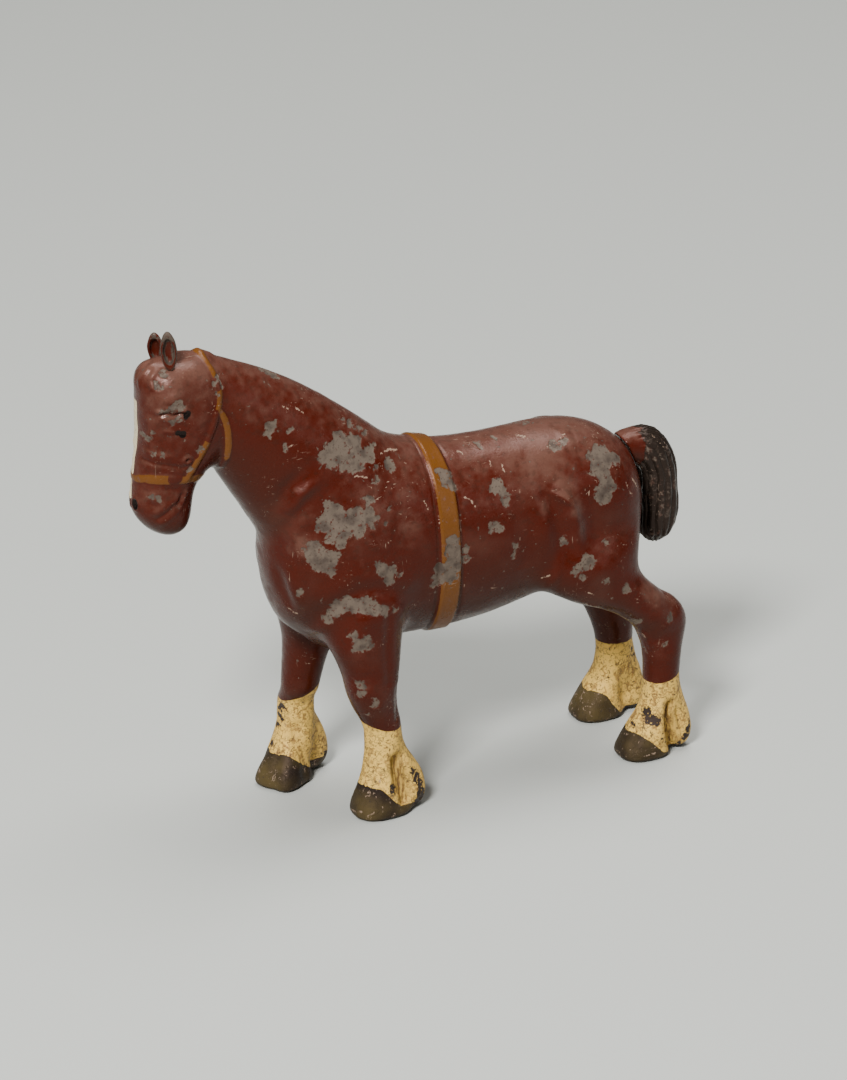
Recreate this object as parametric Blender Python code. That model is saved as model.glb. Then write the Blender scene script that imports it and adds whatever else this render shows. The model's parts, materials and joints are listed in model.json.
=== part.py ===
"""Lead toy cart horse: one hollow lead casting with moulded harness straps, modelled part by part.

Metres, +Z up. The horse faces -X and its left side faces -Y. The origin is the middle of the
bounding box on the plane that the four hooves stand on. Sizes below are in millimetres.
"""

import math
from dataclasses import astuple, dataclass, replace

import bmesh
import bpy
import numpy as np
from mathutils import Matrix, Vector

MM = 0.001
COLLECTION = "lead_toy_cart_horse"

# Casting and fit
WALL = 1.7
CLEARANCE = 0.12
STRAP_RELIEF = 0.42
POUR_HOLE_DIAMETER = 5.0
POUR_HOLE_X = 8.0

# Body: places along X are from the middle of the girth band, heights from the ground
CHEST_X = -23.6
RUMP_X = 33.4
WITHERS_Z = 53.8
BACK_Z = 50.2
CROUP_Z = 50.2
RUMP_Z = 38.3
BREAST_Z = 38.6
BELLY_Z = 23.2
FLANK_Z = 25.7
GROIN_X = 12.2
STIFLE_Z = 33.6
ELBOW_X = -11.4
BARREL_WIDTH = 18.4
SHOULDER_SPREAD = 1.0
HIP_SPREAD = 0.6
SHOULDER_WIDTH = BARREL_WIDTH + SHOULDER_SPREAD
HIP_WIDTH = BARREL_WIDTH + HIP_SPREAD
GIRTH_WIDTH = 3.0
GIRTH_LEAN = 3.5

# Neck: the crest line above, the throat line below
POLL_X = -34.0
POLL_Z = 70.6
CREST_ARCH = 2.35
THROAT_X = -31.2
THROAT_Z = 53.0
NECK_BASE_WIDTH = 16.4
NECK_TOP_WIDTH = 8.4

# Head, hanging almost straight down
FOREHEAD_X = -41.0
MUZZLE_X = -42.1
JOWL_X = -27.5
HEAD_TOP_Z = 69.8
CHIN_Z = 44.2
SKULL_WIDTH = 9.8
JOWL_SQUARE = 2.4
MUZZLE_WIDTH = 7.4
NOSEBAND_Z = 53.9
NOSEBAND_HEIGHT = 1.5
NOSEBAND_LEAN = 8.0
STRAP_WIDTH = 1.15
BIT_BOSS_DIAMETER = 1.1
EAR_HEIGHT = 6.0
EAR_WIDTH = 2.4
EAR_SPACING = 4.8
EAR_DROP_RIGHT = 1.9

# Legs and feet
TRACK = 14.4
LEFT_FRONT_FOOT_X = -9.9
RIGHT_FRONT_FOOT_X = -18.2
HIND_FOOT_X = 30.6
RIGHT_FRONT_FOOT_TURN = 25.0
LEFT_FRONT_HOOF_LENGTH = 8.8
RIGHT_FRONT_HOOF_LENGTH = 7.4
HIND_HOOF_LENGTH = 8.0
FOOT_WIDTH = 7.2
HOOF_TOE_HEIGHT = 4.7
HOOF_HEEL_HEIGHT = 1.4
FRONT_SOCK_HEIGHT = 13.0
HIND_SOCK_HEIGHT = 10.9
LEFT_FRONT_PASTERN_LEAN = 0.5
RIGHT_FRONT_PASTERN_LEAN = 3.0
HIND_PASTERN_LEAN = 3.0
SHANK_DEPTH = 5.3
SHANK_WIDTH = 5.4
KNEE_HEIGHT = 18.5
LEFT_KNEE_BULGE = 4.4
RIGHT_KNEE_BULGE = 3.5
HOCK_HEIGHT = 21.0
LEFT_GASKIN_BULGE = 0.0
RIGHT_GASKIN_BULGE = 1.4
LEFT_FRONT_TUFT_REACH = 2.4
RIGHT_FRONT_TUFT_REACH = 5.2
HIND_TUFT_REACH = 3.6
TUFT_WIDTH = 4.2
TUFT_GROUND_GAP = 0.15

# Tail
DOCK_Z = 45.4
TAIL_BACK_X = 39.5
TAIL_TIP_Z = 29.1
TAIL_DEPTH = 5.4
TAIL_WIDTH = 6.0


@dataclass
class Section:
    """One cross-section: centre (x, y, z), the direction of its long reach and its three reaches."""

    x: float
    z: float
    up: float
    down: float
    side: float
    tilt: float = 90.0
    y: float = 0.0
    square: float = 2.0
    turn: float = 0.0


def body_section(x, top, bottom, width, widest):
    """A section across the body, widest at the given share of its height."""
    z = bottom + (top - bottom) * widest
    return Section(x, z, top - z, z - bottom, width / 2)


def level_section(z, front, back, width, y=0.0, square=2.0):
    """A horizontal section of the head or of a leg, from its front X to its back X."""
    middle = (front + back) / 2
    return Section(middle, z, middle - front, back - middle, width / 2, 180.0, y, square)


def neck_section(crest, throat, width):
    """A section square to the neck, between a point of its crest and one of its throat."""
    dx = crest[0] - throat[0]
    dz = crest[1] - throat[1]
    half = math.hypot(dx, dz) / 2
    tilt = math.degrees(math.atan2(dz, dx))
    x = (crest[0] + throat[0]) / 2
    z = (crest[1] + throat[1]) / 2
    return Section(x, z, half, half, width / 2, tilt)


def between(a, b, share):
    return a + (b - a) * share


def smooth_rows(sections, rings):
    """Sections at even steps along a smooth curve through the given ones."""
    rows = np.array([astuple(section) for section in sections])
    gaps = np.linalg.norm(np.diff(rows[:, [0, 1, 6]], axis=0), axis=1)
    knots = np.concatenate([[0.0], np.cumsum(np.maximum(gaps, 0.2))])
    slopes = np.gradient(rows, knots, axis=0)
    result = []
    for place in np.linspace(0.0, knots[-1], rings):
        i = min(int(np.searchsorted(knots, place, side="right")) - 1, len(knots) - 2)
        span = knots[i + 1] - knots[i]
        t = (place - knots[i]) / span
        value = (
            (2 * t**3 - 3 * t**2 + 1) * rows[i]
            + (t**3 - 2 * t**2 + t) * span * slopes[i]
            + (3 * t**2 - 2 * t**3) * rows[i + 1]
            + (t**3 - t**2) * span * slopes[i + 1]
        )
        result.append(Section(*value))
    return result


def ring_points(section, sides):
    """Points round a section, a superellipse with its own reach above and below."""
    tilt = math.radians(section.tilt)
    turn = Matrix.Rotation(math.radians(section.turn), 3, "Z")
    long_way = turn @ Vector((math.cos(tilt), 0.0, math.sin(tilt)))
    side_way = turn @ Vector((0.0, section.side, 0.0))
    centre = Vector((section.x, section.y, section.z))
    power = 2.0 / section.square
    points = []
    for k in range(sides):
        angle = 2 * math.pi * k / sides
        c = math.copysign(abs(math.cos(angle)) ** power, math.cos(angle))
        s = math.copysign(abs(math.sin(angle)) ** power, math.sin(angle))
        reach = section.up if c > 0 else section.down
        points.append(centre + long_way * (reach * c) + side_way * s)
    return points


def grown(sections, amount):
    """The sections with every reach changed by an amount, and the two ends moved out by it."""
    least = 0.8
    rows = [
        replace(s, up=s.up + amount, down=s.down + amount, side=s.side + amount)
        for s in sections
        if min(s.up, s.down, s.side) + amount > least
    ]
    for end, inner in ((0, 1), (-1, -2)):
        away = Vector((rows[end].x - rows[inner].x, 0.0, rows[end].z - rows[inner].z)).normalized()
        rows[end] = replace(rows[end], x=rows[end].x + away.x * amount, z=rows[end].z + away.z * amount)
    return rows


def new_object(name, bm, collection):
    """Turns a bmesh in millimetres into an object of the collection, with its normals outward."""
    bmesh.ops.scale(bm, vec=(MM, MM, MM), verts=bm.verts)
    bmesh.ops.recalc_face_normals(bm, faces=bm.faces)
    mesh = bpy.data.meshes.new(name)
    bm.to_mesh(mesh)
    bm.free()
    obj = bpy.data.objects.new(name, mesh)
    collection.objects.link(obj)
    return obj


def loft(name, sections, rings, sides, collection):
    """A closed form through the sections, rounded by the smooth curve between them."""
    bm = bmesh.new()
    loops = []
    for section in smooth_rows(sections, rings):
        verts = [bm.verts.new(point) for point in ring_points(section, sides)]
        loops.append(verts)
    for lower, upper in zip(loops, loops[1:]):
        for k in range(sides):
            following = (k + 1) % sides
            bm.faces.new((lower[k], lower[following], upper[following], upper[k]))
    bm.faces.new(loops[0])
    bm.faces.new(reversed(loops[-1]))
    return new_object(name, bm, collection)


def box(name, low, high, collection, lean=0.0, pivot=(0.0, 0.0, 0.0)):
    """A block between two corners, leaned about the Y axis through a pivot."""
    bm = bmesh.new()
    bmesh.ops.create_cube(bm, size=1.0)
    size = [h - l for l, h in zip(low, high)]
    middle = [(h + l) / 2 for l, h in zip(low, high)]
    bmesh.ops.scale(bm, vec=size, verts=bm.verts)
    bmesh.ops.translate(bm, vec=middle, verts=bm.verts)
    turn = Matrix.Rotation(math.radians(lean), 3, "Y")
    bmesh.ops.rotate(bm, cent=pivot, matrix=turn, verts=bm.verts)
    return new_object(name, bm, collection)


def rod(name, centre, diameter, length, axis, sides, collection):
    """A cylinder about a centre, along the given axis."""
    bm = bmesh.new()
    radius = diameter / 2
    bmesh.ops.create_cone(
        bm, cap_ends=True, segments=sides, radius1=radius, radius2=radius, depth=length
    )
    turn = Vector((0.0, 0.0, 1.0)).rotation_difference(Vector(axis)).to_matrix()
    bmesh.ops.rotate(bm, cent=(0.0, 0.0, 0.0), matrix=turn, verts=bm.verts)
    bmesh.ops.translate(bm, vec=centre, verts=bm.verts)
    return new_object(name, bm, collection)


def ribbon(name, path, width, reach, collection):
    """A strip of constant width along a path in the XZ plane, as deep in Y as the reach."""
    bm = bmesh.new()
    edges = []
    for i, point in enumerate(path):
        before = path[max(i - 1, 0)]
        after = path[min(i + 1, len(path) - 1)]
        run = Vector((after[0] - before[0], after[1] - before[1])).normalized()
        across = Vector((-run.y, run.x)) * (width / 2)
        edges.append([(point[0] + across.x * s, point[1] + across.y * s) for s in (-1, 1)])
    corners = [e[0] for e in edges] + [e[1] for e in reversed(edges)]
    near = [bm.verts.new((x, -reach, z)) for x, z in corners]
    face = bm.faces.new(near)
    grown_out = bmesh.ops.extrude_face_region(bm, geom=[face])
    moved = [v for v in grown_out["geom"] if isinstance(v, bmesh.types.BMVert)]
    bmesh.ops.translate(bm, vec=(0.0, 2 * reach, 0.0), verts=moved)
    return new_object(name, bm, collection)


def boolean(obj, cutter, operation="DIFFERENCE", folded=False):
    """Cuts or joins. A folded form, one that may cross itself at a tight bend, is sorted out first."""
    modifier = obj.modifiers.new(f"{operation.lower()}_{cutter.name}", "BOOLEAN")
    modifier.operation = operation
    modifier.solver = "EXACT"
    modifier.use_self = folded
    modifier.object = cutter


# Sections of the casting's forms

def torso_sections():
    trunk = RUMP_X - CHEST_X
    depth = WITHERS_Z - BELLY_Z
    rear = between(BACK_Z, CROUP_Z, 0.6)
    return [
        body_section(CHEST_X, BREAST_Z + 0.085 * depth, BREAST_Z - 0.105 * depth,
                     0.26 * SHOULDER_WIDTH, 0.5),
        body_section(CHEST_X + 0.025 * trunk, BREAST_Z + 0.209 * depth, BREAST_Z - 0.294 * depth,
                     0.60 * SHOULDER_WIDTH, 0.5),
        body_section(CHEST_X + 0.077 * trunk, between(BREAST_Z, WITHERS_Z, 0.66),
                     BELLY_Z + 0.105 * depth,
                     0.84 * SHOULDER_WIDTH, 0.54),
        body_section(CHEST_X + 0.158 * trunk, between(BREAST_Z, WITHERS_Z, 0.88),
                     BELLY_Z - 0.013 * depth,
                     0.97 * SHOULDER_WIDTH, 0.54),
        body_section(CHEST_X + 0.256 * trunk, WITHERS_Z, BELLY_Z + 0.007 * depth, SHOULDER_WIDTH, 0.50),
        body_section(CHEST_X + 0.361 * trunk, between(WITHERS_Z, BACK_Z, 0.42), BELLY_Z,
                     BARREL_WIDTH, 0.50),
        body_section(CHEST_X + 0.467 * trunk, between(WITHERS_Z, BACK_Z, 0.86), BELLY_Z,
                     BARREL_WIDTH, 0.49),
        body_section(CHEST_X + 0.572 * trunk, BACK_Z, BELLY_Z + 0.02 * depth, 1.016 * BARREL_WIDTH,
                     0.49),
        body_section(CHEST_X + 0.677 * trunk, rear, between(BELLY_Z, FLANK_Z, 0.75),
                     0.984 * HIP_WIDTH, 0.50),
        body_section(CHEST_X + 0.774 * trunk, CROUP_Z, FLANK_Z + 0.026 * depth, HIP_WIDTH, 0.52),
        body_section(CHEST_X + 0.861 * trunk, CROUP_Z - 0.033 * depth, FLANK_Z + 0.072 * depth,
                     0.96 * HIP_WIDTH, 0.52),
        body_section(RUMP_X - 0.081 * trunk, between(RUMP_Z, CROUP_Z, 0.76), FLANK_Z + 0.105 * depth,
                     0.86 * HIP_WIDTH, 0.50),
        body_section(RUMP_X - 0.039 * trunk, between(RUMP_Z, CROUP_Z, 0.58), RUMP_Z - 0.281 * depth,
                     0.68 * HIP_WIDTH, 0.5),
        body_section(RUMP_X - 0.011 * trunk, between(RUMP_Z, CROUP_Z, 0.34), RUMP_Z - 0.176 * depth,
                     0.40 * HIP_WIDTH, 0.5),
        body_section(RUMP_X, RUMP_Z + 0.052 * depth, RUMP_Z - 0.078 * depth, 0.17 * HIP_WIDTH, 0.5),
    ]


def neck_line(low, high, rise, share):
    """A point on a slightly arched line from the shoulders to the head."""
    x = between(low[0], high[0], share)
    z = between(low[1], high[1], share) + rise * math.sin(math.pi * share)
    return x, z


def neck_sections():
    trunk = RUMP_X - CHEST_X
    depth = WITHERS_Z - BELLY_Z
    crest_low = (CHEST_X + 0.326 * trunk, WITHERS_Z - 0.016 * depth)
    crest_high = (POLL_X, POLL_Z)
    throat_low = (CHEST_X + 0.042 * trunk, BREAST_Z - 0.046 * depth)
    throat_high = (THROAT_X - 0.238 * NECK_TOP_WIDTH, THROAT_Z + 0.595 * NECK_TOP_WIDTH)
    rows = []
    for share in (0.0, 0.2, 0.4, 0.6, 0.8, 0.94):
        crest = neck_line(crest_low, crest_high, CREST_ARCH, share)
        throat = neck_line(throat_low, throat_high, -0.25 * CREST_ARCH, share)
        width = NECK_TOP_WIDTH + (NECK_BASE_WIDTH - NECK_TOP_WIDTH) * (1.0 - share) ** 1.4
        rows.append(neck_section(crest, throat, width))
    return rows


def head_sections():
    long = JOWL_X - FOREHEAD_X
    top = HEAD_TOP_Z
    chin = CHIN_Z
    height = top - chin
    skull = SKULL_WIDTH
    muzzle = MUZZLE_WIDTH
    cheek = between(skull, muzzle, 0.3)
    bridge = between(FOREHEAD_X, MUZZLE_X, 0.5)
    return [
        level_section(top, FOREHEAD_X + 0.207 * long, POLL_X + 0.178 * long, 0.46 * skull),
        level_section(top - 0.05 * height, FOREHEAD_X + 0.067 * long, JOWL_X - 0.178 * long,
                      0.80 * skull),
        level_section(top - 0.15 * height, FOREHEAD_X + 0.007 * long, JOWL_X - 0.067 * long,
                      0.97 * skull, 0.0, JOWL_SQUARE),
        level_section(top - 0.27 * height, FOREHEAD_X - 0.007 * long, JOWL_X, skull, 0.0, JOWL_SQUARE),
        level_section(top - 0.42 * height, FOREHEAD_X - 0.007 * long, JOWL_X, 0.98 * skull, 0.0,
                      JOWL_SQUARE),
        level_section(top - 0.52 * height, bridge, JOWL_X - 0.074 * long, cheek, 0.0, JOWL_SQUARE),
        level_section(top - 0.60 * height, MUZZLE_X + 0.007 * long, THROAT_X + 0.089 * long,
                      1.135 * muzzle),
        level_section(top - 0.68 * height, MUZZLE_X - 0.007 * long, THROAT_X - 0.089 * long, muzzle),
        level_section(top - 0.77 * height, MUZZLE_X - 0.03 * long, THROAT_X - 0.178 * long, muzzle),
        level_section(top - 0.85 * height, MUZZLE_X + 0.007 * long, THROAT_X - 0.193 * long,
                      0.97 * muzzle),
        level_section(chin + 0.075 * height, MUZZLE_X + 0.119 * long, THROAT_X - 0.23 * long,
                      0.84 * muzzle),
        level_section(chin + 0.025 * height, MUZZLE_X + 0.237 * long, THROAT_X - 0.289 * long,
                      0.62 * muzzle),
        level_section(chin, MUZZLE_X + 0.341 * long, THROAT_X - 0.363 * long, 0.30 * muzzle),
    ]


@dataclass
class Foot:
    """Where one foot stands, how it is shaped and how far the leg above it bulges forward."""

    x: float
    y: float
    length: float
    lean: float
    tuft: float
    sock: float
    bulge: float
    turn: float = 0.0

    @property
    def toe(self):
        return self.x - self.length / 2

    @property
    def heel(self):
        return self.x + self.length / 2

    @property
    def shank(self):
        return self.x + self.lean


def foot_sections(foot):
    """Hoof and pastern as one form, from the flat sole up to the top of the sock."""
    deep = SHANK_DEPTH
    wide = SHANK_WIDTH
    toe = foot.toe
    heel = foot.heel
    y = foot.y
    front = foot.shank - deep / 2
    back = foot.shank + deep / 2
    rows = [
        level_section(-0.085 * HOOF_TOE_HEIGHT, toe, heel, FOOT_WIDTH, y, 4.6),
        level_section(0.19 * HOOF_TOE_HEIGHT, toe, heel, FOOT_WIDTH, y, 4.0),
        level_section(0.6 * HOOF_TOE_HEIGHT, between(toe, front, 0.22), heel - 0.025 * foot.length,
                      0.95 * FOOT_WIDTH, y, 2.8),
        level_section(HOOF_TOE_HEIGHT, between(toe, front, 0.48), between(heel, back, 0.35),
                      between(FOOT_WIDTH, wide, 0.42), y),
        level_section(1.45 * HOOF_TOE_HEIGHT, between(toe, front, 0.84), between(heel, back, 0.8),
                      between(FOOT_WIDTH, wide, 0.85), y),
        level_section(2.1 * HOOF_TOE_HEIGHT, front, back, wide, y),
        level_section(foot.sock + 0.426 * HOOF_TOE_HEIGHT, front, back, wide, y),
    ]
    return turned(rows, foot)


def tuft_sections(foot):
    """The hair that hangs behind the pastern, as a drop that ends just above the ground."""
    deep = SHANK_DEPTH
    heel = foot.heel
    y = foot.y
    root = foot.x + 0.5 * foot.lean
    back = heel + foot.tuft
    shank_back = foot.shank + deep / 2
    rows = [
        level_section(foot.sock + 0.213 * HOOF_TOE_HEIGHT, root, shank_back, 0.5 * TUFT_WIDTH, y),
        level_section(2.1 * HOOF_TOE_HEIGHT, root, between(shank_back, back, 0.16),
                      0.7 * TUFT_WIDTH, y),
        level_section(1.65 * HOOF_TOE_HEIGHT, root, between(shank_back, back, 0.5),
                      0.9 * TUFT_WIDTH, y),
        level_section(1.1 * HOOF_TOE_HEIGHT, root + 0.189 * deep, between(shank_back, back, 0.9),
                      TUFT_WIDTH, y),
        level_section(0.5 * HOOF_TOE_HEIGHT, root + 0.453 * deep, back, TUFT_WIDTH, y),
        level_section(0.15 * HOOF_TOE_HEIGHT, heel - 0.226 * deep, back - 0.057 * deep,
                      0.9 * TUFT_WIDTH, y),
        level_section(TUFT_GROUND_GAP, heel - 0.075 * deep, back - 0.17 * deep, 0.6 * TUFT_WIDTH, y),
    ]
    return turned(rows, foot)


def turned(sections, foot):
    """The sections turned about the upright line through the foot's middle."""
    c = math.cos(math.radians(foot.turn))
    d = math.sin(math.radians(foot.turn))
    return [
        replace(s, x=foot.x + (s.x - foot.x) * c, y=foot.y + (s.x - foot.x) * d, turn=foot.turn)
        for s in sections
    ]


def front_leg_sections(foot):
    deep = SHANK_DEPTH
    wide = SHANK_WIDTH
    shank = foot.shank
    y = foot.y
    elbow_z = BELLY_Z + 0.943 * deep
    inward = math.copysign(1.0, y)
    elbow_x = between(foot.x, ELBOW_X, 0.8)
    knee = between(shank, elbow_x, 0.3)
    forearm = between(shank, elbow_x, 0.6)
    return [
        level_section(foot.sock - 0.566 * deep, shank - deep / 2, shank + deep / 2, wide, y),
        level_section(foot.sock + 0.151 * deep, shank - 0.557 * deep, shank + deep / 2, wide, y),
        level_section(KNEE_HEIGHT - 0.264 * deep, knee - foot.bulge, knee + 0.509 * deep,
                      1.185 * wide, y),
        level_section(KNEE_HEIGHT + 0.642 * deep, forearm - foot.bulge - 0.094 * deep,
                      forearm + 0.698 * deep, 1.37 * wide,
                      y - inward * 0.037 * wide),
        level_section(elbow_z, elbow_x - 1.245 * deep, elbow_x + 1.019 * deep, 1.593 * wide,
                      y - inward * 0.148 * wide),
        level_section(elbow_z + 0.868 * deep, elbow_x - 1.132 * deep, elbow_x + 1.057 * deep,
                      1.778 * wide, y - inward * 0.278 * wide),
        level_section(elbow_z + 1.283 * deep, elbow_x - 0.717 * deep, elbow_x + 0.679 * deep,
                      1.185 * wide, y - inward * 0.63 * wide),
    ]


def hind_leg_sections(foot):
    deep = SHANK_DEPTH
    wide = SHANK_WIDTH
    shank = foot.shank
    y = foot.y
    inward = math.copysign(1.0, y)
    front = shank - deep / 2
    back = shank + deep / 2
    return [
        level_section(foot.sock - 0.566 * deep, front, back, wide, y),
        level_section(foot.sock, front, back, wide, y),
        level_section(HOCK_HEIGHT - 0.943 * deep, front - 0.057 * deep - foot.bulge,
                      back + 0.094 * deep, 1.037 * wide, y),
        level_section(HOCK_HEIGHT - 0.151 * deep, front - 0.377 * deep - 1.5 * foot.bulge,
                      back + 0.283 * deep, 1.13 * wide, y),
        level_section(HOCK_HEIGHT + 0.34 * deep, front - 0.981 * deep - foot.bulge,
                      back + 0.038 * deep, 1.185 * wide, y),
        level_section(HOCK_HEIGHT + 0.943 * deep, between(shank, GROIN_X, 0.71), shank - 0.226 * deep,
                      1.407 * wide, y - inward * 0.056 * wide),
        level_section(HOCK_HEIGHT + 1.604 * deep, GROIN_X + 0.283 * deep, shank - 0.66 * deep,
                      1.667 * wide, y - inward * 0.167 * wide),
        level_section(STIFLE_Z, GROIN_X + 0.113 * deep, shank - 0.377 * deep, 1.852 * wide,
                      y - inward * 0.278 * wide),
        level_section(STIFLE_Z + 0.642 * deep, GROIN_X + 0.755 * deep, shank - 0.566 * deep,
                      1.296 * wide, y - inward * 0.667 * wide),
    ]


def tail_sections():
    """From the root on the rump, up and over, then hanging to the cut end."""
    back = TAIL_BACK_X
    depth = TAIL_DEPTH / 2
    return [
        Section(RUMP_X - 0.926 * TAIL_DEPTH, DOCK_Z - 0.296 * TAIL_DEPTH, 0.70 * depth,
                0.81 * depth, 0.33 * TAIL_WIDTH, 60.0),
        Section(RUMP_X - 0.37 * TAIL_DEPTH, DOCK_Z - 0.222 * TAIL_DEPTH, 0.85 * depth, 0.89 * depth,
                0.38 * TAIL_WIDTH, 66.0),
        Section(back - depth * 2.0, DOCK_Z - 0.315 * TAIL_DEPTH, 1.07 * depth, 1.04 * depth,
                0.46 * TAIL_WIDTH, 52.0),
        Section(back - depth * 1.25, DOCK_Z - 0.778 * TAIL_DEPTH, depth * 1.05, depth,
                0.50 * TAIL_WIDTH, 20.0),
        Section(back - depth * 1.05, between(DOCK_Z, TAIL_TIP_Z, 0.50), depth, depth,
                0.50 * TAIL_WIDTH, 2.0),
        Section(back - depth * 1.0, between(DOCK_Z, TAIL_TIP_Z, 0.74), depth, depth,
                0.49 * TAIL_WIDTH, 0.0),
        Section(back - depth * 1.15, TAIL_TIP_Z + 0.407 * TAIL_DEPTH, depth * 0.92, depth * 0.92,
                0.45 * TAIL_WIDTH, -3.0),
        Section(back - depth * 1.25, TAIL_TIP_Z + 0.148 * TAIL_DEPTH, depth * 0.68, depth * 0.68,
                0.34 * TAIL_WIDTH, -4.0),
        Section(back - depth * 1.3, TAIL_TIP_Z, depth * 0.30, depth * 0.30, 0.16 * TAIL_WIDTH, -4.0),
    ]


def headstall_path():
    """Behind the ears, down the cheek and forward to the noseband."""
    long = JOWL_X - FOREHEAD_X
    height = HEAD_TOP_Z - CHIN_Z
    low_z = NOSEBAND_Z + 1.17 * NOSEBAND_HEIGHT
    return [
        (POLL_X + 0.193 * long, HEAD_TOP_Z + 0.078 * height),
        (POLL_X + 0.222 * long, HEAD_TOP_Z - 0.023 * height),
        (JOWL_X - 0.267 * long, HEAD_TOP_Z - 0.102 * height),
        (JOWL_X - 0.237 * long, HEAD_TOP_Z - 0.180 * height),
        (JOWL_X - 0.237 * long, HEAD_TOP_Z - 0.258 * height),
        (JOWL_X - 0.267 * long, HEAD_TOP_Z - 0.336 * height),
        (JOWL_X - 0.319 * long, between(HEAD_TOP_Z, low_z, 0.70)),
        (JOWL_X - 0.415 * long, between(HEAD_TOP_Z, low_z, 0.87)),
        (JOWL_X - 0.541 * long, low_z),
    ]


def throat_latch_path():
    """From the cheek strap, behind the jowl and round under the throat."""
    long = JOWL_X - FOREHEAD_X
    height = HEAD_TOP_Z - CHIN_Z
    return [
        (JOWL_X - 0.174 * long, HEAD_TOP_Z - 0.348 * height),
        (JOWL_X - 0.144 * long, HEAD_TOP_Z - 0.406 * height),
        (JOWL_X - 0.144 * long, HEAD_TOP_Z - 0.469 * height),
        (JOWL_X - 0.167 * long, HEAD_TOP_Z - 0.531 * height),
        (JOWL_X - 0.193 * long, HEAD_TOP_Z - 0.586 * height),
        (JOWL_X - 0.215 * long, HEAD_TOP_Z - 0.633 * height),
    ]


# Paint

def paint(name, colour, roughness=0.45, metallic=0.0):
    material = bpy.data.materials.new(name)
    material.use_nodes = True
    shader = material.node_tree.nodes["Principled BSDF"]
    shader.inputs["Base Color"].default_value = (*colour, 1.0)
    shader.inputs["Roughness"].default_value = roughness
    shader.inputs["Metallic"].default_value = metallic
    material.diffuse_color = (*colour, 1.0)
    return material


PAINTS = {
    "bay_paint": (0.107, 0.024, 0.016),
    "strap_paint": (0.305, 0.114, 0.021),
    "sock_paint": (0.650, 0.440, 0.200),
    "hoof_paint": (0.062, 0.048, 0.022),
    "tail_paint": (0.040, 0.030, 0.024),
}


def clear_scene():
    for obj in list(bpy.data.objects):
        bpy.data.objects.remove(obj, do_unlink=True)


class Horse:
    """Holds the two collections and the paints while the parts are made."""

    def __init__(self):
        self.parts = bpy.data.collections.new(COLLECTION)
        self.cutters = bpy.data.collections.new("cutters")
        bpy.context.scene.collection.children.link(self.parts)
        bpy.context.scene.collection.children.link(self.cutters)
        self.paints = {name: paint(name, colour) for name, colour in PAINTS.items()}

    def cutter(self, obj):
        obj.hide_render = True
        obj.display_type = "WIRE"
        return obj

    def form(self, name, sections, amount, rings, sides):
        """A hidden form of the sections, grown by an amount, to cut or keep with."""
        return self.cutter(loft(name, grown(sections, amount), rings, sides, self.cutters))

    def finish(self, obj, paint_name):
        obj.data.materials.append(self.paints[paint_name])
        obj.data.shade_smooth()
        obj.data.set_sharp_from_angle(angle=math.radians(40))
        return obj


TORSO_RINGS, TORSO_SIDES = 26, 28
NECK_RINGS, NECK_SIDES = 12, 22
HEAD_RINGS, HEAD_SIDES = 22, 22
LEG_RINGS, LEG_SIDES = 13, 14
FOOT_RINGS, FOOT_SIDES = 10, 18
TUFT_RINGS, TUFT_SIDES = 9, 12
TAIL_RINGS, TAIL_SIDES = 18, 18
CORE_RINGS, CORE_SIDES = 12, 16
FAR = 60.0


def girth_slab(horse, name, start, end):
    """Everything between two planes across the body, leaned as the girth is."""
    pivot = (0.0, 0.0, BACK_Z)
    slab = box(name, (start, -FAR, -FAR), (end, FAR, 2 * FAR), horse.cutters, -GIRTH_LEAN, pivot)
    return horse.cutter(slab)


def make_torso(horse):
    sections = torso_sections()
    core = horse.form("torso_core", sections, -WALL, CORE_RINGS, CORE_SIDES)
    neck_core = horse.form("neck_core", neck_sections(), -WALL, CORE_RINGS, CORE_SIDES)
    half = GIRTH_WIDTH / 2
    keep = {
        "forequarters": girth_slab(horse, "front_side", -FAR, -half - CLEARANCE),
        "hindquarters": girth_slab(horse, "rear_side", half + CLEARANCE, FAR),
    }
    for name, side in keep.items():
        shell = loft(name, sections, TORSO_RINGS, TORSO_SIDES, horse.parts)
        boolean(shell, core)
        boolean(shell, side, "INTERSECT")
        horse.finish(shell, "bay_paint")
    boolean(bpy.data.objects["forequarters"], neck_core)
    hole = rod("pour_hole", (POUR_HOLE_X, 0.0, BELLY_Z), POUR_HOLE_DIAMETER, 4 * WALL,
               (0.0, 0.0, 1.0), 20, horse.cutters)
    boolean(bpy.data.objects["hindquarters"], horse.cutter(hole))
    band = loft("girth_band", grown(sections, STRAP_RELIEF), TORSO_RINGS, TORSO_SIDES, horse.parts)
    boolean(band, core)
    boolean(band, girth_slab(horse, "band_side", -half, half), "INTERSECT")
    horse.finish(band, "strap_paint")


def make_neck(horse):
    neck = loft("neck", neck_sections(), NECK_RINGS, NECK_SIDES, horse.parts)
    boolean(neck, bpy.data.objects["neck_core"])
    boolean(neck, bpy.data.objects["torso_envelope"])
    room = horse.form("head_room", head_sections(), STRAP_RELIEF + CLEARANCE, HEAD_RINGS, HEAD_SIDES)
    boolean(neck, room)
    horse.finish(neck, "bay_paint")


def noseband_slab(horse, name, low, high):
    pivot = (MUZZLE_X, 0.0, NOSEBAND_Z)
    slab = box(name, (-2 * FAR, -FAR, low), (FAR, FAR, high), horse.cutters, NOSEBAND_LEAN, pivot)
    return horse.cutter(slab)


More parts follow.
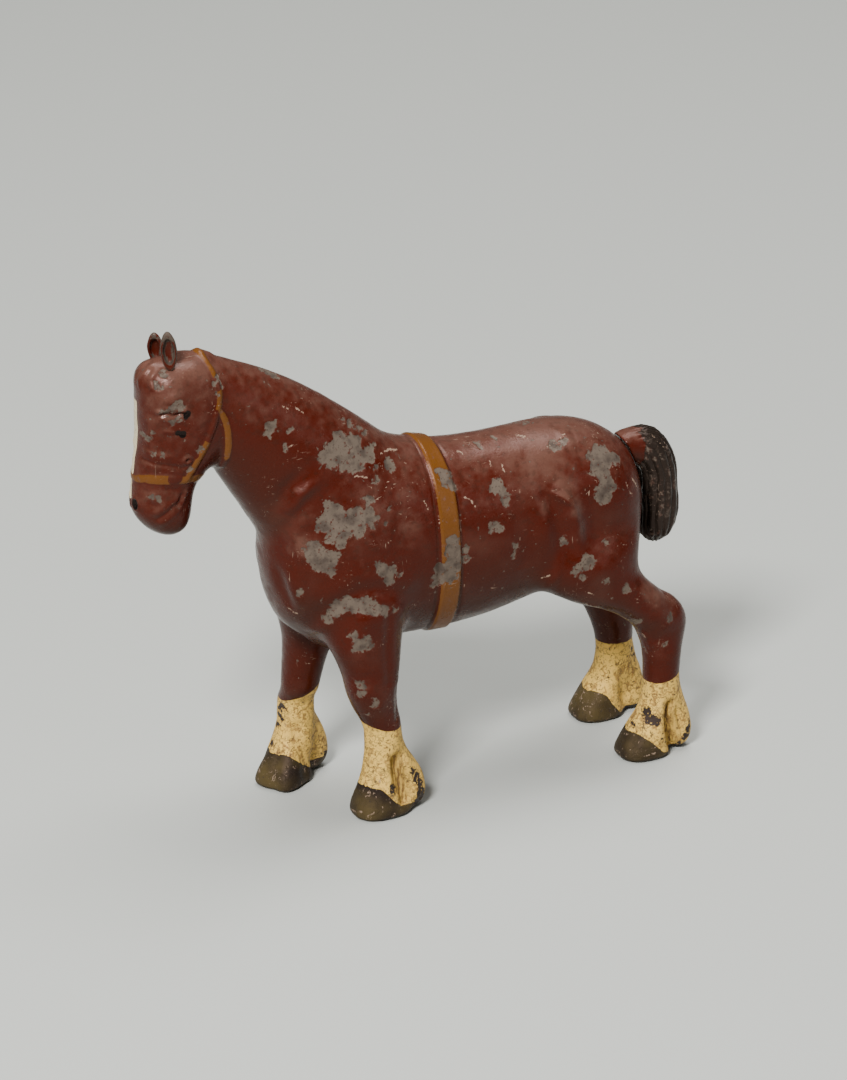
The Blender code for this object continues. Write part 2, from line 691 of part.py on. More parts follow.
def make_head(horse):
    sections = head_sections()
    low = NOSEBAND_Z - NOSEBAND_HEIGHT / 2
    high = NOSEBAND_Z + NOSEBAND_HEIGHT / 2
    head = loft("head", sections, HEAD_RINGS, HEAD_SIDES, horse.parts)
    boolean(head, noseband_slab(horse, "above_noseband", high + CLEARANCE, 2 * FAR), "INTERSECT")
    upper = [s for s in grown(sections, -WALL) if s.z > high + WALL]
    core = horse.cutter(loft("head_core", upper, CORE_RINGS, CORE_SIDES, horse.cutters))
    boolean(head, core)
    boolean(head, bpy.data.objects["neck_core"])
    muzzle = loft("muzzle", sections, HEAD_RINGS, HEAD_SIDES, horse.parts)
    boolean(muzzle, noseband_slab(horse, "below_noseband", 0.0, low - CLEARANCE), "INTERSECT")
    band = loft("noseband", grown(sections, STRAP_RELIEF), HEAD_RINGS, HEAD_SIDES, horse.parts)
    boolean(band, noseband_slab(horse, "noseband_side", low, high), "INTERSECT")
    horse.finish(head, "bay_paint")
    horse.finish(muzzle, "bay_paint")
    horse.finish(band, "strap_paint")


def make_head_straps(horse):
    raised = grown(head_sections(), STRAP_RELIEF)
    reach = SKULL_WIDTH
    long = JOWL_X - FOREHEAD_X
    for name, path in (("headstall", headstall_path()), ("throat_latch", throat_latch_path())):
        strap = loft(name, raised, HEAD_RINGS, HEAD_SIDES, horse.parts)
        strip = horse.cutter(ribbon(f"{name}_strip", path, STRAP_WIDTH, reach, horse.cutters))
        boolean(strap, strip, "INTERSECT")
        boolean(strap, bpy.data.objects["head_envelope"])
        horse.finish(strap, "strap_paint")
    for side, y in (("left", -1.0), ("right", 1.0)):
        place = (JOWL_X - 0.604 * long, y * SKULL_WIDTH * 0.44, NOSEBAND_Z + 0.193 * long)
        boss = rod(f"bit_boss_{side}", place, BIT_BOSS_DIAMETER, 1.45 * BIT_BOSS_DIAMETER,
                   (0.0, 1.0, 0.0), 16, horse.parts)
        boolean(boss, bpy.data.objects["head_envelope"])
        horse.finish(boss, "bay_paint")


def ear_sections(y, tip):
    base = HEAD_TOP_Z - 0.267 * EAR_HEIGHT
    x = FOREHEAD_X + 0.667 * EAR_HEIGHT
    half = EAR_WIDTH / 2
    lean = math.copysign(0.21 * EAR_WIDTH, y)
    rows = []
    for share, fullness in ((0.0, 0.74), (0.3, 1.0), (0.65, 1.0), (0.84, 0.84), (0.95, 0.58), (1.0,
                                                                                               0.24)):
        z = between(base, tip, share)
        rows.append(Section(x, z, half * fullness, half * fullness, 0.72 * half * fullness, 180.0,
                            y + lean * share))
    return rows


def make_ears(horse):
    for side, sign, drop in (("left", -1.0, 0.0), ("right", 1.0, EAR_DROP_RIGHT)):
        y = sign * EAR_SPACING / 2
        tip = HEAD_TOP_Z - 0.267 * EAR_HEIGHT + EAR_HEIGHT - drop
        rows = ear_sections(y, tip)
        ear = loft(f"ear_{side}", rows, 14, 16, horse.parts)
        scoop_rows = [
            replace(row, x=row.x - 0.042 * EAR_WIDTH, y=row.y + sign * 0.23 * EAR_WIDTH,
                    up=0.66 * row.up, down=0.66 * row.down)
            for row in rows[1:]
        ]
        scoop_rows[-1] = replace(scoop_rows[-1], z=scoop_rows[-1].z - 0.067 * EAR_HEIGHT)
        scoop = horse.cutter(loft(f"ear_hollow_{side}", scoop_rows, 10, 12, horse.cutters))
        boolean(ear, bpy.data.objects["head_envelope"])
        boolean(ear, scoop)
        horse.finish(ear, "bay_paint")


def make_forelock(horse):
    long = JOWL_X - FOREHEAD_X
    x = FOREHEAD_X
    rows = [
        Section(x + 0.237 * long, HEAD_TOP_Z - 0.015 * long, 0.037 * long, 0.052 * long,
                0.089 * long, 110.0),
        Section(x + 0.133 * long, HEAD_TOP_Z - 0.052 * long, 0.059 * long, 0.074 * long,
                0.148 * long, 128.0),
        Section(x + 0.059 * long, HEAD_TOP_Z - 0.133 * long, 0.059 * long, 0.074 * long,
                0.163 * long, 155.0),
        Section(x + 0.037 * long, HEAD_TOP_Z - 0.237 * long, 0.056 * long, 0.074 * long,
                0.141 * long, 178.0),
        Section(x + 0.037 * long, HEAD_TOP_Z - 0.326 * long, 0.030 * long, 0.044 * long,
                0.067 * long, 185.0),
    ]
    forelock = loft("forelock", rows, 12, 16, horse.parts)
    boolean(forelock, bpy.data.objects["head_envelope"])
    horse.finish(forelock, "bay_paint")


def make_leg(horse, name, sections, foot):
    """One leg with its sock and hoof. The hoof line slopes from the toe down to the heel."""
    leg = loft(f"{name}_leg", sections, LEG_RINGS, LEG_SIDES, horse.parts)
    boolean(leg, bpy.data.objects["torso_envelope"])
    above = box(f"{name}_above", (-FAR, -FAR, foot.sock + CLEARANCE), (FAR, FAR, FAR), horse.cutters)
    boolean(leg, horse.cutter(above), "INTERSECT")
    horse.finish(leg, "bay_paint")

    slope = math.degrees(math.atan2(HOOF_TOE_HEIGHT - HOOF_HEEL_HEIGHT, foot.length))
    line_z = (HOOF_TOE_HEIGHT + HOOF_HEEL_HEIGHT) / 2
    pivot = (foot.x, 0.0, line_z)
    below_line = box(f"{name}_below_line", (foot.x - FAR, -FAR, -FAR), (foot.x + FAR, FAR, line_z),
                     horse.cutters, slope, pivot)
    above_line = box(f"{name}_above_line", (foot.x - FAR, -FAR, line_z + CLEARANCE),
                     (foot.x + FAR, FAR, FAR), horse.cutters, slope, pivot)
    ground = horse.cutter(box(f"{name}_ground", (-FAR, -FAR, -FAR), (FAR, FAR, 0.0), horse.cutters))
    under = box(f"{name}_under", (-FAR, -FAR, -FAR), (FAR, FAR, foot.sock), horse.cutters)

    whole = foot_sections(foot)
    tuft = tuft_sections(foot)
    hoof = loft(f"{name}_hoof", whole, FOOT_RINGS, FOOT_SIDES, horse.parts)
    boolean(hoof, horse.cutter(below_line), "INTERSECT")
    boolean(hoof, ground)
    boolean(hoof, horse.form(f"{name}_tuft_room", tuft, CLEARANCE, TUFT_RINGS, TUFT_SIDES))
    horse.finish(hoof, "hoof_paint")

    sock = loft(f"{name}_sock", whole, FOOT_RINGS, FOOT_SIDES, horse.parts)
    boolean(sock, horse.cutter(above_line), "INTERSECT")
    hair = horse.cutter(loft(f"{name}_tuft", tuft, TUFT_RINGS, TUFT_SIDES, horse.cutters))
    boolean(sock, hair, "UNION", folded=True)
    boolean(sock, horse.cutter(under), "INTERSECT")
    horse.finish(sock, "sock_paint")


def make_legs(horse):
    left = -TRACK / 2
    right = TRACK / 2
    feet = {
        "front_left": Foot(LEFT_FRONT_FOOT_X, left, LEFT_FRONT_HOOF_LENGTH, LEFT_FRONT_PASTERN_LEAN,
                           LEFT_FRONT_TUFT_REACH, FRONT_SOCK_HEIGHT, LEFT_KNEE_BULGE),
        "front_right": Foot(RIGHT_FRONT_FOOT_X, right, RIGHT_FRONT_HOOF_LENGTH,
                            RIGHT_FRONT_PASTERN_LEAN,
                            RIGHT_FRONT_TUFT_REACH, FRONT_SOCK_HEIGHT, RIGHT_KNEE_BULGE,
                            RIGHT_FRONT_FOOT_TURN),
        "hind_left": Foot(HIND_FOOT_X, left, HIND_HOOF_LENGTH, HIND_PASTERN_LEAN, HIND_TUFT_REACH,
                          HIND_SOCK_HEIGHT, LEFT_GASKIN_BULGE),
        "hind_right": Foot(HIND_FOOT_X, right, HIND_HOOF_LENGTH, HIND_PASTERN_LEAN, HIND_TUFT_REACH,
                           HIND_SOCK_HEIGHT, RIGHT_GASKIN_BULGE),
    }
    for name, foot in feet.items():
        sections = front_leg_sections(foot) if name.startswith("front") else hind_leg_sections(foot)
        make_leg(horse, name, sections, foot)


def make_tail(horse):
    sections = tail_sections()
    split_x = RUMP_X - 0.037 * TAIL_DEPTH
    for name, low, high, paint_name in (
        ("dock", -FAR, split_x - CLEARANCE, "bay_paint"),
        ("tail", split_x, 2 * FAR, "tail_paint"),
    ):
        piece = loft(name, sections, TAIL_RINGS, TAIL_SIDES, horse.parts)
        boolean(piece, bpy.data.objects["torso_envelope"], folded=True)
        side = horse.cutter(box(f"{name}_side", (low, -FAR, -FAR), (high, FAR, 2 * FAR), horse.cutters))
        boolean(piece, side, "INTERSECT")
        horse.finish(piece, paint_name)


def rest_on_origin(horse):
    """Moves everything so that the origin is the middle of the footprint, on the ground."""
    bpy.context.view_layer.update()
    graph = bpy.context.evaluated_depsgraph_get()
    corners = []
    for obj in horse.parts.objects:
        corners += [Vector(corner) for corner in obj.evaluated_get(graph).bound_box]
    low = [min(c[i] for c in corners) for i in range(2)]
    high = [max(c[i] for c in corners) for i in range(2)]
    shift = Vector((-(low[0] + high[0]) / 2, -(low[1] + high[1]) / 2, 0.0))
    for obj in list(horse.parts.objects) + list(horse.cutters.objects):
        obj.location = shift


def main():
    clear_scene()
    horse = Horse()
    horse.form("torso_envelope", torso_sections(), CLEARANCE, TORSO_RINGS, TORSO_SIDES)
    horse.form("head_envelope", head_sections(), CLEARANCE, HEAD_RINGS, HEAD_SIDES)
    make_torso(horse)
    make_neck(horse)
    make_head(horse)
    make_head_straps(horse)
    make_ears(horse)
    make_forelock(horse)
    make_legs(horse)
    make_tail(horse)
    rest_on_origin(horse)


main()
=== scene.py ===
"""Lead toy cart horse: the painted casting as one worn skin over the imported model, with its studio."""

import json
import math
import random

import bmesh
import bpy
import numpy as np
from bpy.props import FloatProperty, FloatVectorProperty, PointerProperty
from mathutils import Matrix, Vector, noise
from mathutils.bvhtree import BVHTree

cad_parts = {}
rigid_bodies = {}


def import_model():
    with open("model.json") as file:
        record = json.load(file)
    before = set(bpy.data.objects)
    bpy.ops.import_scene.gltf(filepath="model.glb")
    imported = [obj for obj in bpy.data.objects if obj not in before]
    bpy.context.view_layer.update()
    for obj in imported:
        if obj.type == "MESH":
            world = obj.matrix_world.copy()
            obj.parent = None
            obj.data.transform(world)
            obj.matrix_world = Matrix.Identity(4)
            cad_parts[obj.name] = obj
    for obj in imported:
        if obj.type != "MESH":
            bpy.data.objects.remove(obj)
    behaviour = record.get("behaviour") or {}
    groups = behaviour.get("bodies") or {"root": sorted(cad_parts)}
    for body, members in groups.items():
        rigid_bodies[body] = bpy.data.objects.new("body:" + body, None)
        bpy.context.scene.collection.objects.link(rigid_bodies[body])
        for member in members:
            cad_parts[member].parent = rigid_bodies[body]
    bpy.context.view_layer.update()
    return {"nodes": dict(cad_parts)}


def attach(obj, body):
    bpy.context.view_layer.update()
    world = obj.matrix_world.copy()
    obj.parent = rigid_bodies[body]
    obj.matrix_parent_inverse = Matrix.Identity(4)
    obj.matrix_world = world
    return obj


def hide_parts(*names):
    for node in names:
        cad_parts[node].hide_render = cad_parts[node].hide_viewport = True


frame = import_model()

bl_info = {
    "name": "Lead Cart Horse",
    "version": (1, 0, 0),
    "blender": (4, 5, 0),
    "location": "3D View > Sidebar > Cart Horse",
    "description": "Builds the painted and worn skin of a lead toy cart horse",
    "category": "Object",
}

MM = 0.001
MID_Y = -0.57
GRAIN = 0.2
TAIL_GRAIN = 0.14
GAP_FILL = 0.12
STRAP_NODES = {"girth_band": 0.42, "noseband": 0.42}
BRIDLE_NODES = {"headstall", "throat_latch", "bit_boss_left", "bit_boss_right"}
LEFT_OUT = BRIDLE_NODES | {"ear_left", "ear_right", "dock", "tail"}
TRUNK_STEPS, FOLD_STEPS, HOCK_STEPS, LAST_STEPS = 210, 380, 190, 5
POUR_HOLE, POUR_HOLE_RADIUS, POUR_PLUG_DEPTH = (9.5, MID_Y, 24.75), 2.75, 2.0
OUTSIDE = -5.0
JUST_OUTSIDE = -3.0

# The photograph's viewpoint: angles in degrees, lengths in metres, the lens and its sensor in millimetres

PHOTO_SIZE = (847, 1080)
VIEW_TURN, VIEW_LIFT, VIEW_ROLL = 25.0, 23.75, -0.9
VIEW_DISTANCE = 0.8
VIEW_AIM = (0.0, 0.0, 0.0375)
AIM_TO_THE_RIGHT, AIM_DOWN = 0.00216, 0.00127
LENS_LENGTH, SENSOR_WIDTH = 248.05, 36.0


# Sizes and colours that a user may change

class CartHorseSizes(bpy.types.PropertyGroup):
    girth_relief: FloatProperty(
        name="Girth relief", description="How far the girth strap stands out of the body",
        default=0.38 * MM, min=0.0, unit="LENGTH")
    bridle_relief: FloatProperty(
        name="Bridle relief", description="How far the straps of the head stand out",
        default=0.26 * MM, min=0.0, unit="LENGTH")
    paint_thickness: FloatProperty(
        name="Paint thickness", description="Step from the paint down to bare lead",
        default=0.07 * MM, min=0.0, unit="LENGTH")
    strand_depth: FloatProperty(
        name="Strand depth", description="Depth of the grooves between the strands of the tail",
        default=0.34 * MM, min=0.0, unit="LENGTH")
    floor_side: FloatProperty(
        name="Floor side", description="Width of the studio floor", default=4.0, min=0.5, unit="LENGTH")


def colour(name, description, value):
    return FloatVectorProperty(
        name=name, description=description, default=value, subtype="COLOR", size=3, min=0.0, max=1.0)


class CartHorseColours(bpy.types.PropertyGroup):
    bay: colour("Bay", "Red-brown enamel of the coat", (0.047, 0.0050, 0.0017))
    # Dusty, rubbed coat, also used as painted sheen where the coat faces up and on the rubbed muscles
    bay_dusty: colour("Dusty bay", "The coat where it is rubbed dull", (0.100, 0.048, 0.034))
    strap: colour("Straps", "Ochre enamel of the girth and halter", (0.105, 0.038, 0.0070))
    cream: colour("Cream", "Cream enamel of the socks and blaze", (0.700, 0.440, 0.095))
    aged_cream: colour("Aged cream", "Cream enamel gone brown with age", (0.230, 0.120, 0.036))
    blaze: colour("Blaze", "Off-white enamel of the stripe down the face", (0.62, 0.52, 0.33))
    dark_lead: colour("Dark lead", "Lead gone nearly black on the feet", (0.022, 0.016, 0.013))
    hoof: colour("Hooves", "Dark green-brown enamel of the hooves", (0.066, 0.047, 0.018))
    tail: colour("Tail", "Black-brown enamel of the tail", (0.014, 0.010, 0.0075))
    lead: colour("Bare lead", "Dull lead where the paint is gone", (0.098, 0.076, 0.058))
    old_lead: colour("Old lead", "Lead that has gone dark", (0.050, 0.038, 0.030))
    black: colour("Black", "Touches of black on the eyes and nostrils", (0.0035, 0.0028, 0.0025))
    # Brown stain that also stands for painted shade in the splits of the tufts
    tuft: colour("Tuft", "Brown stain in the splits of the tufts", (0.130, 0.070, 0.024))
    # Dirt, and also painted shade in the hollows and on the underside
    grime_and_shade: colour("Grime", "Dirt in the hollows", (0.018, 0.010, 0.006))
    scratch: colour("Scratches", "Pale scratches in the paint", (0.30, 0.21, 0.15))
    floor: colour("Floor", "Plain floor of the studio", (0.41, 0.42, 0.39))


# Small numeric helpers

def ramp(value, low, high):
    share = np.clip((value - low) / (high - low), 0.0, 1.0)
    return share * share * (3.0 - 2.0 * share)


def bump(value, middle, half):
    return np.exp(-((value - middle) / half) ** 2)


def path_distance(points, path):
    """Distance from each point to a broken line, and the share of the line where it is nearest."""
    path = np.array(path, float)
    best = np.full(len(points), 1e9)
    share = np.zeros(len(points))
    for number, (start, end) in enumerate(zip(path[:-1], path[1:])):
        run = end - start
        along = np.clip((points - start) @ run / (run @ run), 0.0, 1.0)
        away = np.linalg.norm(points - start - along[:, None] * run, axis=1)
        nearer = away < best
        best[nearer] = away[nearer]
        share[nearer] = (number + along[nearer]) / (len(path) - 1)
    return best, share


def ridges(places, forms, taper=False):
    """The rises of rounded ridges along paths; a negative height cuts a groove."""
    rise = np.zeros(len(places))
    for path, width, height in forms.values():
        away, share = path_distance(places, path)
        form = height * np.exp(-(away / width) ** 2)
        rise += form * np.sin(math.pi * np.clip(share, 0.02, 0.98)) ** 0.6 if taper else form
    return rise


def wander(points, size, seed):
    """Soft noise between about -1 and 1, with waves of a given size in millimetres."""
    shift = Vector((seed * 7.3, seed * 3.1, seed * 5.7))
    return np.array([noise.noise(Vector(point) / size + shift) for point in points])


def side_view(points):
    return points[:, (0, 2)]


def outward(points):
    """How far a point lies from the middle plane of the horse."""
    return np.abs(points[:, 1] - MID_Y)


def left_half(points):
    """The points with those of the right half mirrored onto the left one."""
    folded = points.copy()
    folded[:, 1] = MID_Y - outward(points)
    return folded


def viewpoint():
    """The photograph's eye in metres, and the directions right, up and forward in its picture."""
    turn, lift, roll = (math.radians(angle) for angle in (VIEW_TURN, VIEW_LIFT, VIEW_ROLL))
    forward = Vector((math.sin(turn) * math.cos(lift), math.cos(turn) * math.cos(lift), -math.sin(lift)))
    right = Vector((math.cos(turn), -math.sin(turn), 0.0))
    up = right.cross(forward)
    right, up = right * math.cos(roll) + up * math.sin(roll), up * math.cos(roll) - right * math.sin(roll)
    aim = Vector(VIEW_AIM) + right * AIM_TO_THE_RIGHT - up * AIM_DOWN
    return aim - forward * VIEW_DISTANCE, right, up, forward


def finder(skin):
    """A function that finds where a place in the photograph lies on the skin, in millimetres."""
    tree = BVHTree.FromPolygons(skin.points.tolist(), [tuple(face.vertices) for face in skin.mesh.polygons])
    eye, right, up, forward = viewpoint()
    eye = eye / MM
    focal_length = LENS_LENGTH / SENSOR_WIDTH * PHOTO_SIZE[0]

    def find(x, y):
        ray = forward * focal_length + right * (x - PHOTO_SIZE[0] / 2) - up * (y - PHOTO_SIZE[1] / 2)
        hit = tree.ray_cast(eye, ray.normalized())[0]
        if hit is None:
            hit = tree.find_nearest(eye + ray * ((MID_Y - eye.y) / ray.y))[0]
        return tuple(hit)

    return find


# The casting's skin, in millimetres

class Skin:
    """A closed skin: its points, its faces and the paint fields stored on it."""

    def __init__(self, name, mesh):
        self.mesh = mesh
        mesh.name = name
        self.points = self.read(mesh)

    @staticmethod
    def read(mesh):
        points = np.empty(len(mesh.vertices) * 3, np.float32)
        mesh.vertices.foreach_get("co", points)
        return points.reshape(-1, 3).astype(np.float64)

    def write(self):
        self.mesh.vertices.foreach_set("co", self.points.astype(np.float32).ravel())
        self.mesh.update()

    def normals(self):
        self.write()
        normals = np.empty(len(self.mesh.vertices) * 3, np.float32)
        self.mesh.vertex_normals.foreach_get("vector", normals)
        return normals.reshape(-1, 3).astype(np.float64)

    def raise_by(self, heights):
        self.points = self.points + self.normals() * heights[:, None]
        self.write()

    def spread(self, values, weights, steps):
        """Runs a number of smoothing steps over any triple of values held by the points."""
        self.mesh.vertices.foreach_set("co", np.ascontiguousarray(values, np.float32).ravel())
        holder = bpy.data.objects.new("smoothing", self.mesh)
        bpy.context.scene.collection.objects.link(holder)
        group = holder.vertex_groups.new(name="share")
        levels = np.round(np.clip(weights, 0.0, 1.0) * 20).astype(int)
        for level in range(21):
            chosen = np.where(levels == level)[0]
            if len(chosen):
                group.add(chosen.tolist(), level / 20.0, "REPLACE")
        modifier = holder.modifiers.new("smooth", "SMOOTH")
        modifier.factor = 0.5
        modifier.iterations = steps
        modifier.vertex_group = "share"
        evaluated = holder.evaluated_get(bpy.context.evaluated_depsgraph_get())
        result = self.read(evaluated.data)
        bpy.data.objects.remove(holder)
        return result

    def smooth(self, weights, steps):
        """Smooths the skin and gives back the volume that the smoothing took."""
        once = self.spread(self.points, weights, steps)
        self.points = once + self.spread(self.points - once, weights, steps)
        self.write()

    def hollows(self, steps):
        """How far each point lies under (positive) or over its smoothed surroundings."""
        eased = self.spread(self.points, np.ones(len(self.points)), steps)
        self.write()
        return ((eased - self.points) * self.normals()).sum(1)

    def store(self, name, values):
        layer = self.mesh.attributes.get(name) or self.mesh.attributes.new(name, "FLOAT", "POINT")
        layer.data.foreach_set("value", np.asarray(values, np.float32))

    def store_normals(self):
        layer = self.mesh.attributes.new("skin_normal", "FLOAT_VECTOR", "POINT")
        layer.data.foreach_set("vector", self.normals().astype(np.float32).ravel())


def node_in_mm(name, swell, sunk=0.0):
    """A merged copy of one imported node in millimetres, swollen to close the gap to its neighbours."""
    form = bmesh.new()
    form.from_mesh(frame["nodes"][name].data)
    bmesh.ops.scale(form, vec=(1.0 / MM,) * 3, verts=form.verts)
    bmesh.ops.remove_doubles(form, verts=form.verts, dist=0.002)
    form.normal_update()
    for vert in form.verts:
        vert.co += vert.normal * swell
        if sunk:
            side = Vector((0.0, vert.normal.y, vert.normal.z)) if name == "girth_band" else \
                Vector((vert.normal.x, vert.normal.y, 0.0))
            if side.length > 0.3:
                vert.co -= side.normalized() * sunk
    return form


def remeshed(form, name, grain):
    """The outer wall of a form after a voxel remesh."""
    mesh = bpy.data.meshes.new(name)
    form.to_mesh(mesh)
    form.free()
    holder = bpy.data.objects.new(name, mesh)
    bpy.context.scene.collection.objects.link(holder)
    modifier = holder.modifiers.new("skin", "REMESH")
    modifier.mode = "VOXEL"
    modifier.voxel_size = grain
    graph = bpy.context.evaluated_depsgraph_get()
    fine = bpy.data.meshes.new_from_object(holder.evaluated_get(graph))
    bpy.data.objects.remove(holder)
    bpy.data.meshes.remove(mesh)
    return outer_wall(fine)


def outer_wall(mesh):
    """Keeps the loose part that reaches highest and drops the rest."""
    form = bmesh.new()
    form.from_mesh(mesh)
    form.verts.ensure_lookup_table()
    top = max(form.verts, key=lambda vert: vert.co.z)
    kept = {top}
    front = [top]
    while front:
        ahead = []
        for vert in front:
            for edge in vert.link_edges:
                other = edge.other_vert(vert)
                if other not in kept:
                    kept.add(other)
                    ahead.append(other)
        front = ahead
    bmesh.ops.delete(form, geom=[vert for vert in form.verts if vert not in kept], context="VERTS")
    form.to_mesh(mesh)
    form.free()
    return mesh


def joined(forms):
    """Several closed forms as one bmesh."""
    whole = bmesh.new()
    for form in forms:
        part = bpy.data.meshes.new("part")
        form.to_mesh(part)
        form.free()
        whole.from_mesh(part)
        bpy.data.meshes.remove(part)
    return whole


def pour_plug():
    """Closes the pouring hole while the skin is made."""
    form = bmesh.new()
    bmesh.ops.create_cone(
        form, cap_ends=True, segments=32, radius1=POUR_HOLE_RADIUS, radius2=POUR_HOLE_RADIUS,
        depth=POUR_PLUG_DEPTH, matrix=Matrix.Translation(POUR_HOLE))
    return form


def ease(skin):
    """Takes the facets and the joins out of the skin, most on the trunk and least on the small forms."""
    points = skin.points
    head = ramp(-points[:, 0], 25.0, 29.0) * ramp(points[:, 2], 43.0, 46.0)
    feet = ramp(-points[:, 2], -16.0, -11.0)
    legs = ramp(-points[:, 2], -30.0, -22.0)
    weights = 1.0 - 0.70 * head - 0.55 * legs * (1.0 - feet) - 0.75 * feet
    weights = np.clip(weights, 0.1, 1.0)
    skin.smooth(weights, TRUNK_STEPS)
    hind = bump(points[:, 2], 35.0, 3.6) * ramp(points[:, 0], 12.0, 16.0)
    fore = bump(points[:, 2], 34.0, 3.2) * ramp(-points[:, 0], -2.0, 1.0)
    skin.points = skin.spread(skin.points, np.maximum(hind, fore), FOLD_STEPS)
    hock = bump(points[:, 0], 38.0, 4.0) * bump(points[:, 2], 22.5, 4.5)
    skin.points = skin.spread(skin.points, hock, HOCK_STEPS)
    skin.smooth(np.ones(len(weights)), LAST_STEPS)
    skin.raise_by(np.full(len(weights), -0.9 * GAP_FILL))
    skin.points[:, 2] = np.maximum(skin.points[:, 2], 0.0)
    skin.write()


# The forms of the casting: paths in millimetres as (x, z), then width and height

HEAD_FORMS = {
    "upper eyelid": (((-37.9, 63.8), (-36.9, 64.3), (-35.9, 64.2), (-34.7, 63.8)), 0.32, 0.34),
    "slit of the eye": (((-37.6, 63.4), (-36.9, 63.5), (-36.1, 63.2), (-35.3, 63.5), (-34.5, 63.4)),
                        0.20, -0.36),
    "lower eyelid": (((-37.5, 62.8), (-36.5, 62.4), (-35.3, 62.5), (-34.6, 62.9)), 0.36, 0.14),
    "brow": (((-36.8, 65.2), (-35.6, 65.6)), 1.0, 0.30),
    "hollow under the eye": (((-35.8, 60.7), (-34.8, 60.5)), 0.38, -0.16),
    "fold under the eye": (((-37.2, 61.1), (-36.3, 60.9)), 0.32, 0.18),
    "ridge over the noseband": (((-39.3, 57.9), (-37.9, 57.5), (-36.9, 57.3)), 0.42, 0.16),
    "groove over the noseband": (((-40.4, 56.9), (-38.5, 56.3), (-36.5, 55.9), (-34.9, 55.4)), 0.34, -0.2),
    "nose lump": (((-39.0, 51.6), (-38.5, 51.2)), 0.6, 0.28),
    "upper lip": (((-35.8, 51.0), (-37.2, 50.1), (-38.7, 49.3)), 0.5, 0.2),
    "mouth": (((-36.2, 49.9), (-37.2, 49.0), (-38.3, 48.3)), 0.3, -0.16),
    "lower lip": (((-35.4, 49.3), (-36.7, 48.3), (-37.8, 47.6)), 0.5, 0.14),
    "temple hollow": (((-34.0, 67.0), (-33.2, 65.2)), 1.4, -0.14),
    "cheek": (((-32.6, 61.5), (-32.4, 58.5)), 2.2, 0.2),
    "dent beside the mouth": (((-34.9, 51.2), (-35.5, 50.0)), 0.3, -0.2),
    "fold at the corner of the mouth": (((-34.3, 51.6), (-34.8, 50.2)), 0.35, 0.2),
    "dent under the noseband": (((-37.0, 52.5), (-35.8, 52.2)), 0.4, -0.16),
    "dent over the nostril": (((-39.6, 52.2), (-39.2, 50.4)), 0.35, -0.16),
    "side of the nose": (((-38.6, 62.0), (-38.9, 58.8)), 0.7, 0.12),
}
FORELOCK_CURLS = {
    "near curl": (((-37.4, -1.5, 70.2), (-38.8, -1.9, 69.2), (-39.5, -1.4, 67.8), (-39.9, -1.9, 66.4)),
                  0.38, 0.16),
    "near groove": (((-37.3, -0.8, 70.3), (-38.9, -1.2, 69.3), (-39.9, -0.8, 67.8), (-40.2, -1.2, 66.6)),
                    0.30, -0.17),
    "middle curl": (((-37.2, -0.2, 70.4), (-39.0, -0.4, 69.2), (-40.0, 0.0, 67.6), (-40.3, -0.4, 66.3)),
                    0.38, 0.16),
    "far groove": (((-37.3, 0.4, 70.3), (-39.0, 0.4, 69.2), (-39.9, 0.7, 67.8)), 0.30, -0.18),
    "side curl": (((-37.6, -2.8, 69.0), (-38.6, -3.0, 68.0), (-38.4, -3.3, 67.0)), 0.40, 0.16),
    "side groove": (((-37.9, -2.3, 69.6), (-39.0, -2.5, 68.3), (-39.0, -2.9, 67.0)), 0.30, -0.16),
}
CREST_FORMS = {
    "crest behind the halter": (((-30.2, MID_Y, 69.7), (-29.1, MID_Y, 69.3)), 0.95, 0.55),
}
BODY_FORMS = {
    "front of the shoulder": (((-16.2, 51.4), (-19.0, 49.2), (-20.6, 46.2)), 0.9, 0.55),
    "hollow before the shoulder": (((-18.2, 53.0), (-20.9, 50.2), (-22.2, 46.5)), 1.1, -0.4),
    "shoulder point": (((-18.0, 46.8), (-19.6, 43.2), (-18.8, 39.0)), 1.0, 0.5),
    "chest crease": (((-21.6, 38.4), (-21.0, 35.2), (-20.0, 32.0)), 0.4, -0.32),
    "chest fold": (((-20.5, 38.7), (-20.0, 35.2), (-19.0, 32.2)), 0.55, 0.22),
    "shoulder blade": (((-15.5, 49.5), (-12.5, 44.0), (-12.5, 39.5)), 4.0, 0.32),
    "hollow behind the shoulder": (((-6.6, 51.0), (-5.0, 44.5), (-5.4, 38.5)), 2.0, -0.3),
    "thigh muscle": (((18.4, 44.6), (20.0, 41.2), (20.7, 38.2), (21.4, 33.2)), 1.05, 0.85),
    "groove behind the thigh muscle": (((22.4, 43.2), (23.6, 38.8), (24.2, 32.6)), 1.5, -0.34),
    "groove before the thigh muscle": (((16.2, 43.8), (17.7, 40.4), (18.5, 35.0)), 1.0, -0.42),
    "crease of the thigh": (((17.3, 43.4), (18.9, 42.2), (20.6, 40.8)), 0.4, 0.34),
    "hollow of the flank": (((12.4, 44.0), (13.4, 38.5), (13.4, 32.5)), 1.9, -0.40),
    "stifle": (((15.8, 40.0), (16.4, 36.0), (16.8, 32.0)), 1.5, 0.3),
    "fold of the flank": (((16.9, 28.5), (17.8, 31.0), (18.6, 34.5)), 0.6, 0.2),
    "hip": (((20.5, 48.4), (23.0, 47.8)), 1.9, 0.2),
}
